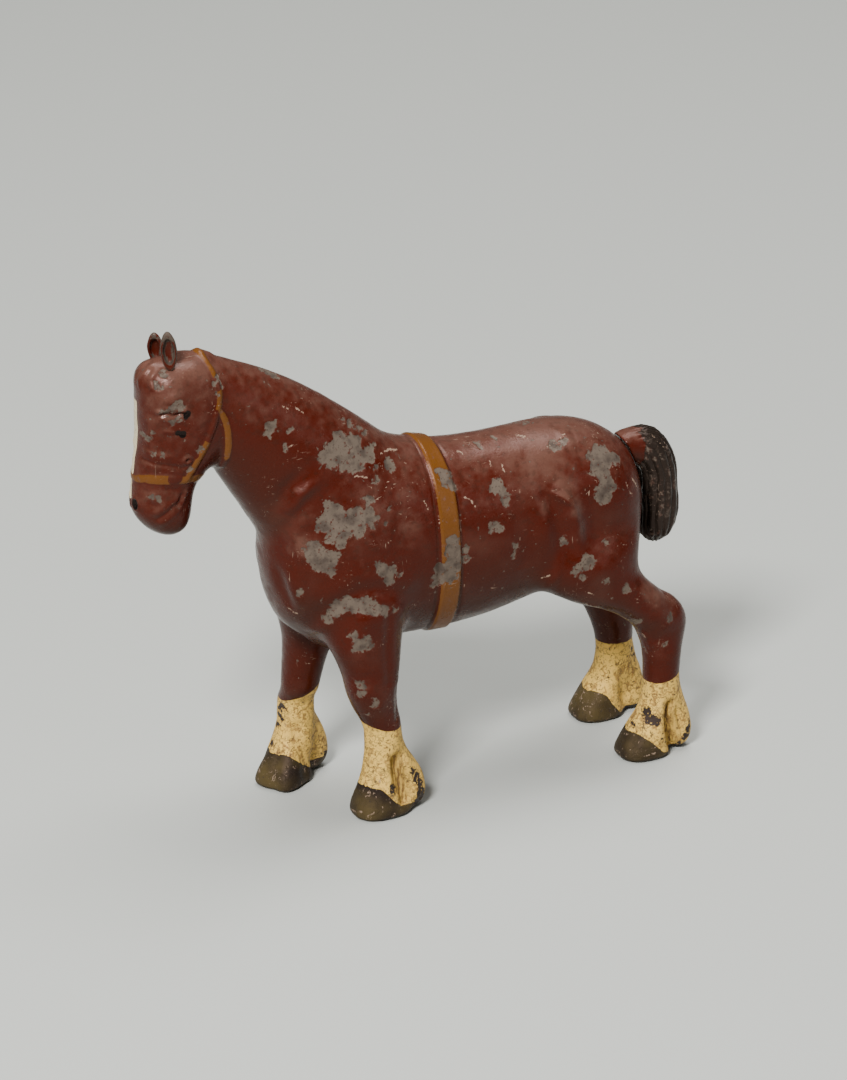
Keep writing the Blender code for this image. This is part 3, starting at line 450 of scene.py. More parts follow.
NEAR_FORE_FORMS = {
    "top of the foreleg": (((-16.6, 28.8), (-15.3, 31.5), (-13.0, 33.2), (-9.8, 33.6), (-7.3, 32.5),
                            (-5.8, 30.6)), 0.9, 0.3),
    "swell over the foreleg": (((-16.6, 34.4), (-12.5, 36.8), (-8.4, 36.4), (-4.6, 34.6)), 1.7, 0.34),
    "forearm muscle": (((-11.9, 30.6), (-12.3, 27.5), (-11.9, 23.5)), 1.3, 0.26),
    "groove of the forearm": (((-8.0, 30.5), (-8.5, 25.5), (-8.2, 20.8)), 0.8, -0.22),
    "knee": (((-10.9, 20.0), (-9.7, 18.2)), 1.3, 0.24),
    "shin": (((-9.6, 17.2), (-9.0, 14.2)), 0.8, 0.14),
    "tendon groove": (((-6.5, 19.0), (-6.5, 14.6)), 0.6, -0.22),
}
NEAR_HIND_FORMS = {
    "gaskin": (((24.5, 31.0), (29.5, 27.0), (33.0, 24.4)), 1.5, 0.24),
    "tendon groove": (((33.4, 28.6), (35.0, 25.4), (35.6, 22.4)), 1.1, -0.16),
    "hock joint": (((33.4, 21.8), (34.4, 20.6)), 1.3, 0.26),
    "hollow under the hock": (((33.6, 18.0), (34.8, 16.2)), 0.9, -0.18),
}
MOULD_LINE = ((21.9, -9.9, 26.0), (24.0, -10.1, 25.0), (26.5, -9.6, 23.4), (29.0, -9.0, 21.8),
              (30.6, -9.1, 19.8), (31.8, -9.3, 18.6), (32.8, -9.6, 16.6))
FORE_FOOT_FORMS = {
    "split of the tuft": (((1.5, 8.4), (1.8, 6.6), (2.2, 4.6), (2.6, 2.4)), 0.9, -1.3),
    "wall of the split": (((1.25, 8.0), (0.95, 6.8), (1.0, 5.4), (1.3, 3.8)), 0.4, -0.42),
    "near lobe": (((-0.3, 8.0), (-0.1, 5.8), (0.1, 4.2)), 0.8, 0.2),
    "rear lobe": (((3.0, 7.4), (3.8, 5.8), (4.5, 3.9), (4.5, 2.2)), 0.8, 0.3),
    "first lock of hair": (((1.9, 6.0), (2.2, 4.4), (2.5, 2.6)), 0.24, 0.3),
    "second lock of hair": (((1.4, 4.6), (1.7, 3.3), (2.2, 2.3)), 0.22, 0.24),
    "groove of the rear lobe": (((3.0, 6.4), (3.4, 4.8), (3.7, 3.0)), 0.26, -0.24),
}
HIND_FOOT_FORMS = {
    "split of the tuft": (((3.2, 7.8), (2.9, 6.2), (3.0, 4.4), (3.5, 2.4), (4.1, 0.8)), 0.62, -1.25),
    "near lobe": (((1.6, 7.6), (1.4, 5.4), (1.7, 3.2)), 0.8, 0.2),
    "middle lock of hair": (((3.8, 6.6), (4.3, 4.6), (4.8, 2.6)), 0.32, 0.2),
    "groove of the rear lobe": (((4.4, 6.6), (5.0, 4.6), (5.5, 2.6)), 0.34, -0.36),
    "rear lobe": (((5.0, 8.0), (5.9, 5.8), (6.3, 3.4)), 0.8, 0.3),
}

# Feet: the node of the hoof, the side it stands on, the forms of its tuft and how strongly they show

FEET = {
    "near_fore": ("front_left_hoof", -1.0, FORE_FOOT_FORMS, 1.0),
    "off_fore": ("front_right_hoof", 1.0, FORE_FOOT_FORMS, 0.3),
    "near_hind": ("hind_left_hoof", -1.0, HIND_FOOT_FORMS, 1.0),
    "off_hind": ("hind_right_hoof", 1.0, HIND_FOOT_FORMS, 0.2),
}
BIT_RING = (-34.37, 56.62)
BIT_RING_RADIUS = 0.45
NOSTRIL = (-40.9, 50.1)


def box(points):
    """The middle of some points and half of their extent."""
    return (points.max(0) + points.min(0)) / 2, (points.max(0) - points.min(0)) / 2


def hoof_box(node):
    """Where the hoof of one foot stands, and half of its size, in millimetres."""
    return box(Skin.read(frame["nodes"][node].data) / MM)


def sculpt(skin):
    """Raises and cuts the forms that the mould gave the casting."""
    points = skin.points
    flat = side_view(points)
    away = outward(points)
    sideways = ramp(np.abs(skin.normals()[:, 1]), 0.15, 0.5)
    head = ramp(-points[:, 0], 26.5, 29.5) * ramp(points[:, 2], 44.0, 45.0)
    trunk = ramp(points[:, 2], 24.0, 28.0) * (1.0 - head)
    rise = ridges(flat, HEAD_FORMS) * head * sideways * ramp(away, 0.8, 1.8)
    rise += ridges(points, FORELOCK_CURLS) + ridges(points, CREST_FORMS)
    rise += ridges(flat, BODY_FORMS, taper=True) * trunk * ramp(away, 1.5, 3.5)
    near = ramp(MID_Y - points[:, 1], 1.0, 3.0)
    rise += (ridges(flat, NEAR_FORE_FORMS) + ridges(flat, NEAR_HIND_FORMS)) * near
    rise += ring_form(flat) * head * ramp(away, 3.0, 4.0)
    along, _ = path_distance(points, MOULD_LINE)
    rise += 0.2 * bump(along, 0.0, 0.45) * (0.6 + 0.6 * wander(points, 1.2, 16))
    rise += nostril_form(points)
    for node, side, forms, share in FEET.values():
        middle, _ = hoof_box(node)
        own = ramp(side * (points[:, 1] - MID_Y), 0.5, 1.5) * ramp(-points[:, 2], -14.0, -9.0)
        own *= bump(points[:, 0], middle[0], 11.0)
        rise += share * own * ridges(flat - (middle[0], 0.0), forms)
    rise += 0.045 * wander(points, 3.6, 1) + 0.018 * wander(points, 1.1, 2)
    rise += girth_form(points) + bridle_form(points)
    rise -= bpy.context.scene.cart_horse_sizes.paint_thickness / MM * ramp(chip_edge(points), -0.04, 0.16)
    skin.raise_by(rise)
    skin.points[:, 2] = np.maximum(skin.points[:, 2], 0.0)
    skin.write()


def smoothed_rows(grid, reach):
    """A grid averaged along its rows with a soft window, its ends held."""
    steps = np.arange(-2 * reach, 2 * reach + 1)
    shares = np.exp(-(steps / reach) ** 2)
    padded = np.concatenate((np.repeat(grid[:1], 2 * reach, 0), grid, np.repeat(grid[-1:], 2 * reach, 0)))
    return sum(share * padded[2 * reach + step:2 * reach + step + len(grid)]
               for share, step in zip(shares, steps)) / shares.sum()


def fair_sock_tops(skin):
    """Runs the legs into the socks without the small step that the model has there."""
    points = skin.points
    rows, columns, reach = 26, 36, 5.2
    for foot, (node, side, _, _) in FEET.items():
        level = SOCK_TOPS[foot][0] + 0.4
        near = (side * (points[:, 1] - MID_Y) > 0.3) & (np.abs(points[:, 2] - level) < reach)
        own = np.where(near & (np.abs(points[:, 0] - hoof_box(node)[0][0]) < 12.0))[0]
        part = points[own]
        height = (part[:, 2] - level + reach) / (2 * reach) * rows
        row = np.clip(height.astype(int), 0, rows - 1)
        count = np.maximum(np.bincount(row, minlength=rows), 1)
        centre = np.stack([np.bincount(row, part[:, axis], rows) / count for axis in (0, 1)], axis=1)
        centre = smoothed_rows(centre, 3)
        marks = np.arange(rows) + 0.5
        middle = np.stack([np.interp(height, marks, centre[:, axis]) for axis in (0, 1)], axis=1)
        arm = part[:, :2] - middle
        radius = np.linalg.norm(arm, axis=1)
        turn = (np.arctan2(arm[:, 1], arm[:, 0]) / (2 * math.pi) + 0.5) * columns
        cell = row * columns + np.clip(turn.astype(int), 0, columns - 1)
        cells = np.bincount(cell, minlength=rows * columns)
        grid = (np.bincount(cell, radius, rows * columns) / np.maximum(cells, 1)).reshape(rows, columns)
        mean = np.bincount(row, radius, rows) / count
        grid = np.where(cells.reshape(rows, columns) > 0, grid, mean[:, None])
        ratio = smoothed_rows(grid, 4) / grid
        below = np.clip(height - 0.5, 0, rows - 1.001)
        beside = turn - 0.5
        low, left = below.astype(int), np.floor(beside).astype(int)
        up, across = below - low, beside - left
        scale = 0.0
        for over, up_share in ((0, 1.0 - up), (1, up)):
            for past, side_share in ((0, 1.0 - across), (1, across)):
                scale = scale + up_share * side_share * ratio[low + over, (left + past) % columns]
        weight = ramp(reach - np.abs(part[:, 2] - level), 0.0, 2.0)
        points[own, :2] = middle + arm * (1.0 + weight * (scale - 1.0))[:, None]
    skin.write()


def round_hooves(skin):
    """Takes the square corners off the hooves, seen from above."""
    points = skin.points
    for node, _, _, _ in FEET.values():
        middle, half = hoof_box(node)
        u = (points[:, 0] - middle[0]) / half[0]
        v = (points[:, 1] - middle[1]) / half[1]
        own = (np.abs(u) < 1.25) & (np.abs(v) < 1.25)
        low = ramp(-points[:, 2], -7.5, -4.0) * own
        boxy = (np.abs(u) ** 4.4 + np.abs(v) ** 4.4) ** (1.0 / 4.4)
        oval = (np.abs(u) ** 2.8 + np.abs(v) ** 2.8) ** (1.0 / 2.8)
        pull = 1.0 + low * (np.clip(boxy / np.maximum(oval, 1e-6), 0.7, 1.0) - 1.0)
        points[:, 0] = middle[0] + (points[:, 0] - middle[0]) * pull
        points[:, 1] = middle[1] + (points[:, 1] - middle[1]) * pull
    skin.write()


def ring_form(flat):
    away = np.linalg.norm(flat - BIT_RING, axis=1)
    return 0.30 * bump(away, BIT_RING_RADIUS, 0.2) - 0.14 * bump(away, 0.0, 0.28)


def nostril_depth(points):
    """One in the middle of a nostril and falling to nothing at its rim."""
    shares = np.stack((
        (outward(points) - 0.95) / 0.54,
        (points[:, 2] - NOSTRIL[1]) / 0.82,
        (points[:, 0] - NOSTRIL[0]) / 1.6), axis=1)
    return 1.0 - np.linalg.norm(shares, axis=1)


def nostril_form(points):
    depth = nostril_depth(points)
    return 0.12 * bump(depth, -0.15, 0.25) - 0.4 * ramp(depth, 0.0, 0.7)


def girth_edge(points):
    """Distance inside the edge of the girth strap, in millimetres."""
    z = points[:, 2]
    middle = 1.95 + 0.35 * ((z - 38.0) / 13.0) ** 2 - 0.45 * ramp(z, 46.0, 51.5)
    half = 1.45 - 0.1 * ramp(z, 46.0, 51.5)
    inside = half - np.abs(points[:, 0] - middle)
    trunk = ramp(z, 21.0, 22.0)
    return inside * trunk + OUTSIDE * (1.0 - trunk)


HEADSTALL = ((-30.7, MID_Y, 70.3), (-30.2, -2.2, 69.6), (-29.9, -3.2, 69.1), (-29.5, -4.4, 67.5),
             (-29.2, -5.0, 65.7), (-29.4, -5.4, 63.9), (-30.1, -5.5, 61.8), (-31.1, -5.7, 59.5),
             (-32.0, -5.6, 57.9), (-32.9, -5.4, 56.2), (-33.7, -5.0, 54.6), (-34.4, -4.8, 53.3))
THROAT_LATCH = ((-29.4, -5.5, 62.9), (-28.7, -4.9, 61.0), (-28.4, -5.0, 59.5), (-28.3, -4.8, 57.4),
                (-28.3, -4.1, 55.6), (-28.5, -2.9, 54.2), (-28.9, MID_Y, 53.4))
NOSEBAND = ((-41.1, MID_Y, 53.75), (-40.9, -1.5, 53.8), (-39.9, -3.1, 54.1), (-37.3, -4.3, 54.0),
            (-35.4, -4.9, 53.6), (-33.0, -4.6, 53.2), (-31.6, -2.5, 53.0), (-31.2, MID_Y, 53.0))
HEADSTALL_HALF, LATCH_HALF, NOSEBAND_HALF = 0.55, 0.45, 0.66
WORN_STRAP = ((-29.7, 66.4, 0.9), (-30.3, 61.6, 1.5), (-30.9, 59.8, 1.2), (-33.4, 57.2, 0.6))
WORN_NOSEBAND = (-36.0, 54.0, 1.0)


def bridle_edges(points):
    """Distances inside the edges of the cheek strap, the throat latch and the noseband."""
    side = left_half(points)
    stall, _ = path_distance(side, HEADSTALL)
    latch, _ = path_distance(side, THROAT_LATCH)
    nose, _ = path_distance(side, NOSEBAND)
    return HEADSTALL_HALF - stall, LATCH_HALF - latch, NOSEBAND_HALF - nose


def girth_form(points):
    edge = girth_edge(points)
    sizes = bpy.context.scene.cart_horse_sizes
    return sizes.girth_relief / MM * ramp(edge, -0.22, 0.28) - 0.14 * bump(edge, -0.42, 0.22)


def bridle_form(points):
    stall, latch, nose = bridle_edges(points)
    relief = bpy.context.scene.cart_horse_sizes.bridle_relief / MM
    return relief * ramp(np.maximum(stall, latch), -0.25, 0.3) + 0.45 * relief * ramp(nose, -0.2, 0.25)


# Losses of paint, each with its radius in millimetres. Their places were read in the photograph, in
# its pixels. The first table was read in an enlarged part of it, and holds the pixels of that part

PART_CORNER = (100, 310)
PART_SCALE = 2.5705
PART_CHIPS = {
    "shoulder top": ((615, 340, 1.3), (600, 370, 1.9), (650, 350, 1.6), (655, 385, 1.8), (690, 375, 1.1),
                     (570, 385, 0.7), (700, 350, 0.6), (625, 405, 0.6)),
    "behind the shoulder": ((745, 400, 0.9), (708, 405, 0.5), (712, 437, 0.6), (742, 517, 0.5),
                            (738, 550, 0.4)),
    "shoulder": ((600, 520, 1.3), (570, 548, 1.1), (620, 560, 1.6), (655, 530, 1.4), (690, 530, 1.3),
                 (660, 565, 1.1), (600, 580, 1.0), (618, 600, 0.7), (690, 490, 0.7), (590, 500, 0.7),
                 (700, 560, 0.5)),
    "lower shoulder": ((555, 620, 1.4), (585, 650, 1.4), (560, 645, 1.3), (545, 612, 0.9), (600, 630, 0.7),
                       (590, 675, 0.6), (517, 725, 0.6)),
    "ribs": ((725, 665, 1.1), (750, 670, 0.9), (740, 690, 0.8), (768, 680, 0.4), (715, 655, 0.5)),
    "top of the foreleg": ((585, 795, 0.6), (597, 778, 0.9), (615, 762, 1.05), (635, 755, 1.15),
                           (655, 757, 1.15), (680, 760, 1.2), (705, 765, 1.1), (730, 769, 0.85),
                           (755, 772, 0.5)),
    "forearm": ((675, 855, 1.1), (650, 840, 0.6), (690, 865, 0.8), (665, 875, 0.6), (669, 962, 0.6),
                (675, 985, 0.5), (706, 1010, 0.6), (690, 1040, 0.4)),
    "neck": ((440, 300, 0.9), (432, 322, 0.5), (450, 290, 0.5), (487, 308, 0.3), (480, 352, 0.4)),
    "crest": ((412, 150, 0.5), (425, 155, 0.6), (440, 162, 0.6), (452, 168, 0.5)),
    "withers": ((625, 283, 0.4), (645, 293, 0.5), (665, 303, 0.5), (683, 318, 0.5)),
    "flank": ((1025, 455, 1.1), (1040, 475, 0.8), (1010, 465, 0.7), (1045, 490, 0.6), (1010, 555, 0.85),
              (1028, 562, 0.6), (1068, 610, 0.6), (1062, 632, 0.6)),
    "loin": ((975, 350, 0.5), (1015, 330, 0.4), (1065, 290, 0.4), (1085, 290, 0.5), (1105, 288, 0.4)),
    "hip": ((1165, 350, 0.75), (1190, 340, 0.6), (1290, 385, 1.8), (1325, 385, 0.9), (1300, 430, 1.4),
            (1275, 410, 1.1), (1295, 475, 1.4), (1320, 455, 0.8), (1260, 370, 0.7)),
    "thigh": ((1190, 598, 0.75), (1250, 650, 1.1), (1225, 668, 0.7), (1240, 690, 0.6), (1265, 640, 0.5),
              (1303, 596, 0.5), (1300, 697, 0.5), (1350, 720, 0.6)),
    "hock": ((1375, 800, 0.75), (1465, 793, 0.6), (1455, 860, 0.4), (1395, 870, 0.3)),
    "girth strap": ((885, 430, 1.1), (905, 450, 0.7), (870, 415, 0.5), (905, 600, 1.3), (905, 625, 1.3),
                    (905, 650, 1.3), (900, 680, 1.2), (870, 690, 0.9), (860, 705, 0.6), (940, 640, 0.7),
                    (945, 615, 0.5), (880, 660, 1.0)),
}
CHIPS = {
    "face": ((164, 374, 0.55), (159, 386, 0.45), (146, 437, 0.65), (153, 432, 0.4), (157, 499, 0.5),
             (150, 497, 0.4), (189, 470, 0.4), (162, 455, 0.4), (152, 453, 0.35)),
    "eye": ((177, 402, 0.5), (172, 408, 0.7), (166, 412, 0.55), (181, 407, 0.7), (163, 413, 0.4),
            (172, 420, 0.5), (180, 420, 0.5)),
    "cheek strap": ((217, 378, 0.5), (213, 383, 0.4), (220, 384, 0.4), (216, 395, 0.35), (198, 450, 0.4)),
    "off fore foot": ((281, 707, 0.5), (280, 716, 0.5), (278, 724, 0.4), (271, 744, 0.5), (318, 760, 0.25),
                      (326, 751, 0.25)),
}

# Losses of paint on the feet, listed in millimetres as (x, y, z) and the radius

FOOT_CHIPS = {
    "near fore foot": ((-7.6, -10.9, 5.0, 0.5), (-7.6, -11.0, 4.3, 0.55), (-4.3, -9.7, 6.0, 0.4),
                       (-3.6, -9.7, 4.9, 0.6), (-3.2, -9.8, 3.8, 0.7), (-3.1, -9.8, 2.8, 0.75),
                       (-3.0, -9.7, 1.8, 0.8), (-3.7, -9.0, 0.8, 0.7), (-3.6, -8.6, 10.2, 0.45),
                       (-3.3, -8.6, 9.2, 0.45), (-2.8, -8.6, 8.2, 0.45), (-5.6, -9.8, 7.0, 0.22),
                       (-9.5, -11.0, 10.6, 0.18), (-8.4, -11.0, 10.9, 0.2)),
    "near hind foot": ((32.0, -9.6, 6.9, 0.6), (32.3, -10.0, 6.1, 0.75), (33.0, -10.4, 5.9, 0.6),
                       (30.3, -8.2, 5.7, 0.55), (29.9, -8.4, 4.9, 0.5), (38.1, -9.8, 2.0, 0.6),
                       (38.5, -9.6, 3.2, 0.6), (38.6, -9.4, 4.0, 0.3), (36.9, -9.8, 1.2, 0.35),
                       (33.4, -11.0, 3.0, 0.25), (36.9, 4.9, 9.8, 0.3), (37.4, 5.2, 9.0, 0.28)),
}

# Long scratches, as paths read in the photograph's pixels, and as paths given in millimetres

SCRATCH_HALF = 0.12
SCRATCHES = (
    ((283, 406), (288, 408)), ((296, 408), (303, 413)), ((381, 453), (391, 449), (397, 450)),
    ((355, 476), (367, 477)), ((464, 497), (471, 500), (475, 507)), ((424, 501), (428, 509)),
    ((283, 451), (293, 444)), ((288, 608), (296, 613)), ((489, 460), (491, 467)), ((502, 465), (504, 472)),
    ((457, 451), (462, 453)), ((516, 435), (526, 437)), ((547, 447), (558, 442), (564, 433)),
    ((559, 497), (576, 507), (577, 514)), ((541, 578), (550, 575)), ((632, 478), (637, 486)),
    ((626, 483), (632, 496)), ((351, 809), (356, 812), (362, 812)), ((367, 816), (374, 813)),
)
LOW_SCRATCHES = (
    ((0.7, -8.2, 46.4), (0.4, -8.9, 44.4)), ((0.4, -9.2, 43.4), (0.5, -9.5, 42.0)),
    ((21.8, -11.0, 28.2), (23.1, -11.1, 27.5)), ((-9.8, -11.3, 2.6), (-9.6, -11.3, 1.8)),
    ((-20.2, 8.3, 1.9), (-19.8, 6.0, 2.2)), ((-20.5, 6.6, 1.2), (-20.2, 5.6, 1.4)),
    ((29.4, -5.5, 3.6), (29.3, -7.3, 3.4), (29.6, -8.4, 3.7)), ((28.3, -6.4, 1.0), (28.2, -8.6, 1.1)),
    ((30.8, -11.3, 1.2), (32.4, -11.3, 1.4)),
)
PLACES = {}


def find_places(skin):
    """Sets what was read in the photograph on the skin, and keeps it in millimetres."""
    find = finder(skin)
    chips = [place for patch in FOOT_CHIPS.values() for place in patch]
    chips += [(*find(x, y), radius) for patch in CHIPS.values() for x, y, radius in patch]
    for patch in PART_CHIPS.values():
        for x, y, radius in patch:
            place = find(PART_CORNER[0] + x / PART_SCALE, PART_CORNER[1] + y / PART_SCALE)
            chips.append((*place, radius))
    scratches = [[find(*place) for place in path] for path in SCRATCHES]
    PLACES["chips"] = chips
    PLACES["scratches"] = scratches + [*LOW_SCRATCHES, MOULD_LINE[:4], MOULD_LINE[4:6]]


# The paint, in millimetres: rubbed places with painted sheen as (x, z), radius and strength, black touches
# as (x, z) and radius

FAR_SIDE_CHIPS = 26
RUBBED_AND_SHEEN = ((-19.0, 41.8, 2.2, 0.7), (-11.0, 43.0, 6.5, 0.38), (-18.2, 46.2, 2.0, 0.4), (-4.5, 42.6, 2.6, 0.5),
          (19.6, 43.6, 1.7, 0.55), (20.6, 40.4, 1.7, 0.7), (21.0, 37.0, 1.7, 0.6), (16.4, 41.5, 1.5, 0.45),
          (17.0, 46.5, 3.5, 0.4), (31.9, 24.8, 2.2, 0.6), (34.0, 17.0, 1.8, 0.5), (-12.0, 21.0, 1.6, 0.6),
          (-13.2, 27.4, 1.8, 0.5), (-24.5, 60.5, 3.0, 0.35))
BLACK_MARKS = ((-34.3, 63.35, 0.48), (-34.6, 62.9, 0.32), (-35.6, 60.75, 0.40), (-35.0, 60.5, 0.52))


def far_side_chips():
    """Losses of paint on the side that the photograph doesn't show, placed like those on the near side."""
    draw = random.Random(11)
    places = []
    for _ in range(FAR_SIDE_CHIPS):
        x = draw.uniform(-19.0, 30.0)
        z = draw.uniform(33.0, 52.0)
        size = draw.uniform(0.5, 1.4)
        for _ in range(draw.randint(3, 7)):
            places.append((x + draw.uniform(-1.3, 1.3), z + draw.uniform(-1.3, 1.3),
                           size * draw.uniform(0.3, 1.0)))
    return places


def chip_edge(points):
    """Distance inside the nearest loss of paint, with a ragged edge."""
    ragged = points + 0.6 * np.stack([wander(points, 1.1, seed) for seed in (3, 4, 5)], axis=1)
    ragged += 0.25 * np.stack([wander(points, 0.45, seed) for seed in (17, 18, 19)], axis=1)
    edge = np.full(len(points), JUST_OUTSIDE)
    for x, y, z, radius in PLACES["chips"]:
        away = np.linalg.norm((ragged - (x, y, z)) * (1.0, 0.5, 1.0), axis=1)
        edge = np.maximum(edge, radius - away)
    far = points[:, 1] > MID_Y + 3.0
    for x, z, radius in far_side_chips():
        away = np.linalg.norm(side_view(ragged) - (x, z), axis=1)
        edge = np.maximum(edge, np.where(far, radius - away, JUST_OUTSIDE))
    return edge


def scratch_edge(points):
    """Distance inside the long scratches that the photograph shows."""
    edge = np.full(len(points), JUST_OUTSIDE)
    flatter = np.array((1.0, 0.4, 1.0))
    for path in PLACES["scratches"]:
        away, _ = path_distance(points * flatter, np.array(path) * flatter)
        edge = np.maximum(edge, SCRATCH_HALF - away)
    return edge


def dullness_and_sheen(points):
    """How dull the coat is rubbed on the head, and how much dust and painted sheen lie on the muscles that
    stand out furthest.
    """
    flat = side_view(points)
    share = 0.45 * ramp(-points[:, 0], 27.0, 33.0) * ramp(points[:, 2], 46.0, 50.0)
    for x, z, radius, strength in RUBBED_AND_SHEEN:
        away = np.linalg.norm(flat - (x, z), axis=1)
        share = np.maximum(share, strength * bump(away, 0.0, radius))
    return share


def blaze_edge(points):
    """Distance inside the pale stripe down the front of the face."""
    across = 1.15 + 0.3 * wander(points, 1.9, 21) - np.abs(points[:, 1] - MID_Y - 1.3)
    ends = np.minimum(points[:, 2] - 50.6, 64.4 - points[:, 2])
    front = -36.5 - points[:, 0]
    return np.minimum(np.minimum(across, ends), front)


def black_edge(points):
    """Distance inside the black touches: the pupils, the spots under them and the nostrils."""
    flat = side_view(points)
    edge = 0.8 * nostril_depth(points)
    beside = outward(points) > 2.5
    for x, z, radius in BLACK_MARKS:
        away = np.linalg.norm(flat - (x, z), axis=1)
        edge = np.maximum(edge, np.where(beside, radius - away, JUST_OUTSIDE))
    return edge


def strap_edge(points):
    """Distance inside the ochre paint of the straps."""
    flat = side_view(points)
    stall, latch, nose = bridle_edges(points)
    for x, z, radius in WORN_STRAP:
        stall = np.minimum(stall, np.linalg.norm(flat - (x, z), axis=1) - radius)
    x, z, radius = WORN_NOSEBAND
    nose = np.minimum(nose, np.linalg.norm(flat - (x, z), axis=1) - radius)
    return np.maximum(np.maximum(girth_edge(points), latch), np.maximum(stall, nose))


# Sock tops: height, slope and bend. Hoof lines: heights at the toe and heel, where the line falls

SOCK_TOPS = {"near_fore": (13.1, -0.08, 0.07), "off_fore": (12.8, 0.55, 0.0),
             "near_hind": (11.3, 0.10, 0.03), "off_hind": (11.5, 0.02, 0.0)}
HOOF_LINES = {"near_fore": (4.9, 1.5, -1.8, 2.4), "off_fore": (4.9, 2.2, -0.7, 3.8),
              "near_hind": (3.9, 0.9, -1.6, 2.4), "off_hind": (4.5, 0.9, -0.8, 2.9)}
HOOF_CUT_SLOPE = 0.5


def foot_edges(points):
    """Distances under the top of the socks and under the top of the hooves."""
    sock = np.full(len(points), OUTSIDE)
    hoof = np.full(len(points), OUTSIDE)
    waves = 0.22 * wander(points, 1.6, 6) + 0.10 * wander(points, 0.6, 7)
    for foot, (node, side, _, _) in FEET.items():
        middle, _ = hoof_box(node)
        own = (side * (points[:, 1] - MID_Y) > 0.0) & (np.abs(points[:, 0] - middle[0]) < 14.0)
        beyond = points[:, 0] - middle[0]
        top, slope, bend = SOCK_TOPS[foot]
        past = np.clip(beyond - 1.0, -4.5, 4.5)
        line = top + slope * past + bend * past ** 2 - points[:, 2]
        sock = np.where(own, np.maximum(sock, line), sock)
        toe, heel, start, end = HOOF_LINES[foot]
        line = 0.85 * (toe - (toe - heel) * ramp(beyond, start, end) - points[:, 2])
        hoof = np.where(own, np.maximum(hoof, line), hoof)
    return sock + 0.5 * waves, hoof + waves


FIELDS = ("strap", "blaze", "black", "sock", "hoof", "tail", "chip", "scratch")


def stain(points):
    """Brown stain and painted shade in the splits of the tufts."""
    share = np.zeros(len(points))
    for node, side, forms, strength in FEET.values():
        middle, _ = hoof_box(node)
        away, _ = path_distance(side_view(points) - (middle[0], 0.0), forms["split of the tuft"][0])
        own = side * (points[:, 1] - MID_Y) > 0.0
        share = np.maximum(share, own * strength * bump(away, 0.0, 1.15))
    return share


def paint_fields(skin, **given):
    """Stores every paint field on the skin; those not given lie far outside their paint."""
    for name in FIELDS:
        skin.store(name, given.get(name, np.full(len(skin.points), OUTSIDE)))
    for name in ("stain", "dim"):
        skin.store(name, given.get(name, np.zeros(len(skin.points))))
    skin.store("hollow", skin.hollows(12))
    # How far the skin faces up, plus the rubbed places: dust and painted sheen where high, painted shade
    # where low
    skin.store("sky", skin.normals()[:, 2] + given.get("dust", np.zeros(len(skin.points))))
    skin.store_normals()


SKIN = {}


def cast_skin():
    """The horse's skin without its ears and tail, made once and kept."""
    if "body" not in SKIN:
        forms = [node_in_mm(name, GAP_FILL, STRAP_NODES.get(name, 0.0))
                 for name in sorted(frame["nodes"]) if name not in LEFT_OUT]
        forms.append(pour_plug())
        skin = Skin("casting", remeshed(joined(forms), "casting", GRAIN))
        ease(skin)
        fair_sock_tops(skin)
        round_hooves(skin)
        find_places(skin)
        sculpt(skin)
        points = skin.points
        sock, hoof = foot_edges(points)
        paint_fields(skin, strap=strap_edge(points), blaze=blaze_edge(points), black=black_edge(points),
                     sock=sock, hoof=hoof, chip=chip_edge(points), scratch=scratch_edge(points),
                     stain=stain(points), dust=dullness_and_sheen(points))
        SKIN["body"] = skin
    return SKIN["body"]


# Cutting the skin into its pieces

def cut(mesh, point, normal, name):
    """Two closed meshes: the side that the normal points to, and the other."""
    halves = []
    for keep_front in (True, False):
        form = bmesh.new()
        form.from_mesh(mesh)
        geometry = form.verts[:] + form.edges[:] + form.faces[:]
        result = bmesh.ops.bisect_plane(
            form, geom=geometry, plane_co=point, plane_no=normal,
            clear_outer=not keep_front, clear_inner=keep_front)
        rim = [item for item in result["geom_cut"] if isinstance(item, bmesh.types.BMEdge)]
        rim = [edge for edge in rim if edge.is_valid and edge.is_boundary]
        made = bmesh.ops.holes_fill(form, edges=rim, sides=0)["faces"]
        made = bmesh.ops.triangulate(form, faces=made)["faces"]
        for face in made:
            face.smooth = False
        half = bpy.data.meshes.new(f"{name}_{'front' if keep_front else 'back'}")
        form.to_mesh(half)
        form.free()
        halves.append(half)
    return halves


def loose_parts(mesh):
    """The mesh's separate bodies, as meshes."""
    holder = bpy.data.objects.new("parts", mesh.copy())
    bpy.context.scene.collection.objects.link(holder)
    before = set(bpy.data.objects)
    for obj in bpy.context.selected_objects:
        obj.select_set(False)
    holder.select_set(True)
    bpy.context.view_layer.objects.active = holder
    bpy.ops.mesh.separate(type="LOOSE")
    found = [holder] + [obj for obj in bpy.data.objects if obj not in before]
    parts = []
    for obj in found:
        parts.append(obj.data)
        bpy.data.objects.remove(obj)
    return parts


LEG_CUT = ((0.0, 0.0, 22.3), (0.0, 0.0, 1.0))
SHOULDER_CUT = ((-20.0, 0.0, 50.0), (-0.86, 0.0, 0.5))
POLL_CUT = ((-29.3, 0.0, 62.0), (-1.0, 0.0, -0.12))
GIRTH_FRONT_CUT = ((0.2, 0.0, 37.0), (1.0, 0.0, 0.0))
GIRTH_REAR_CUT = ((3.7, 0.0, 37.0), (1.0, 0.0, 0.0))
CUTS = {}


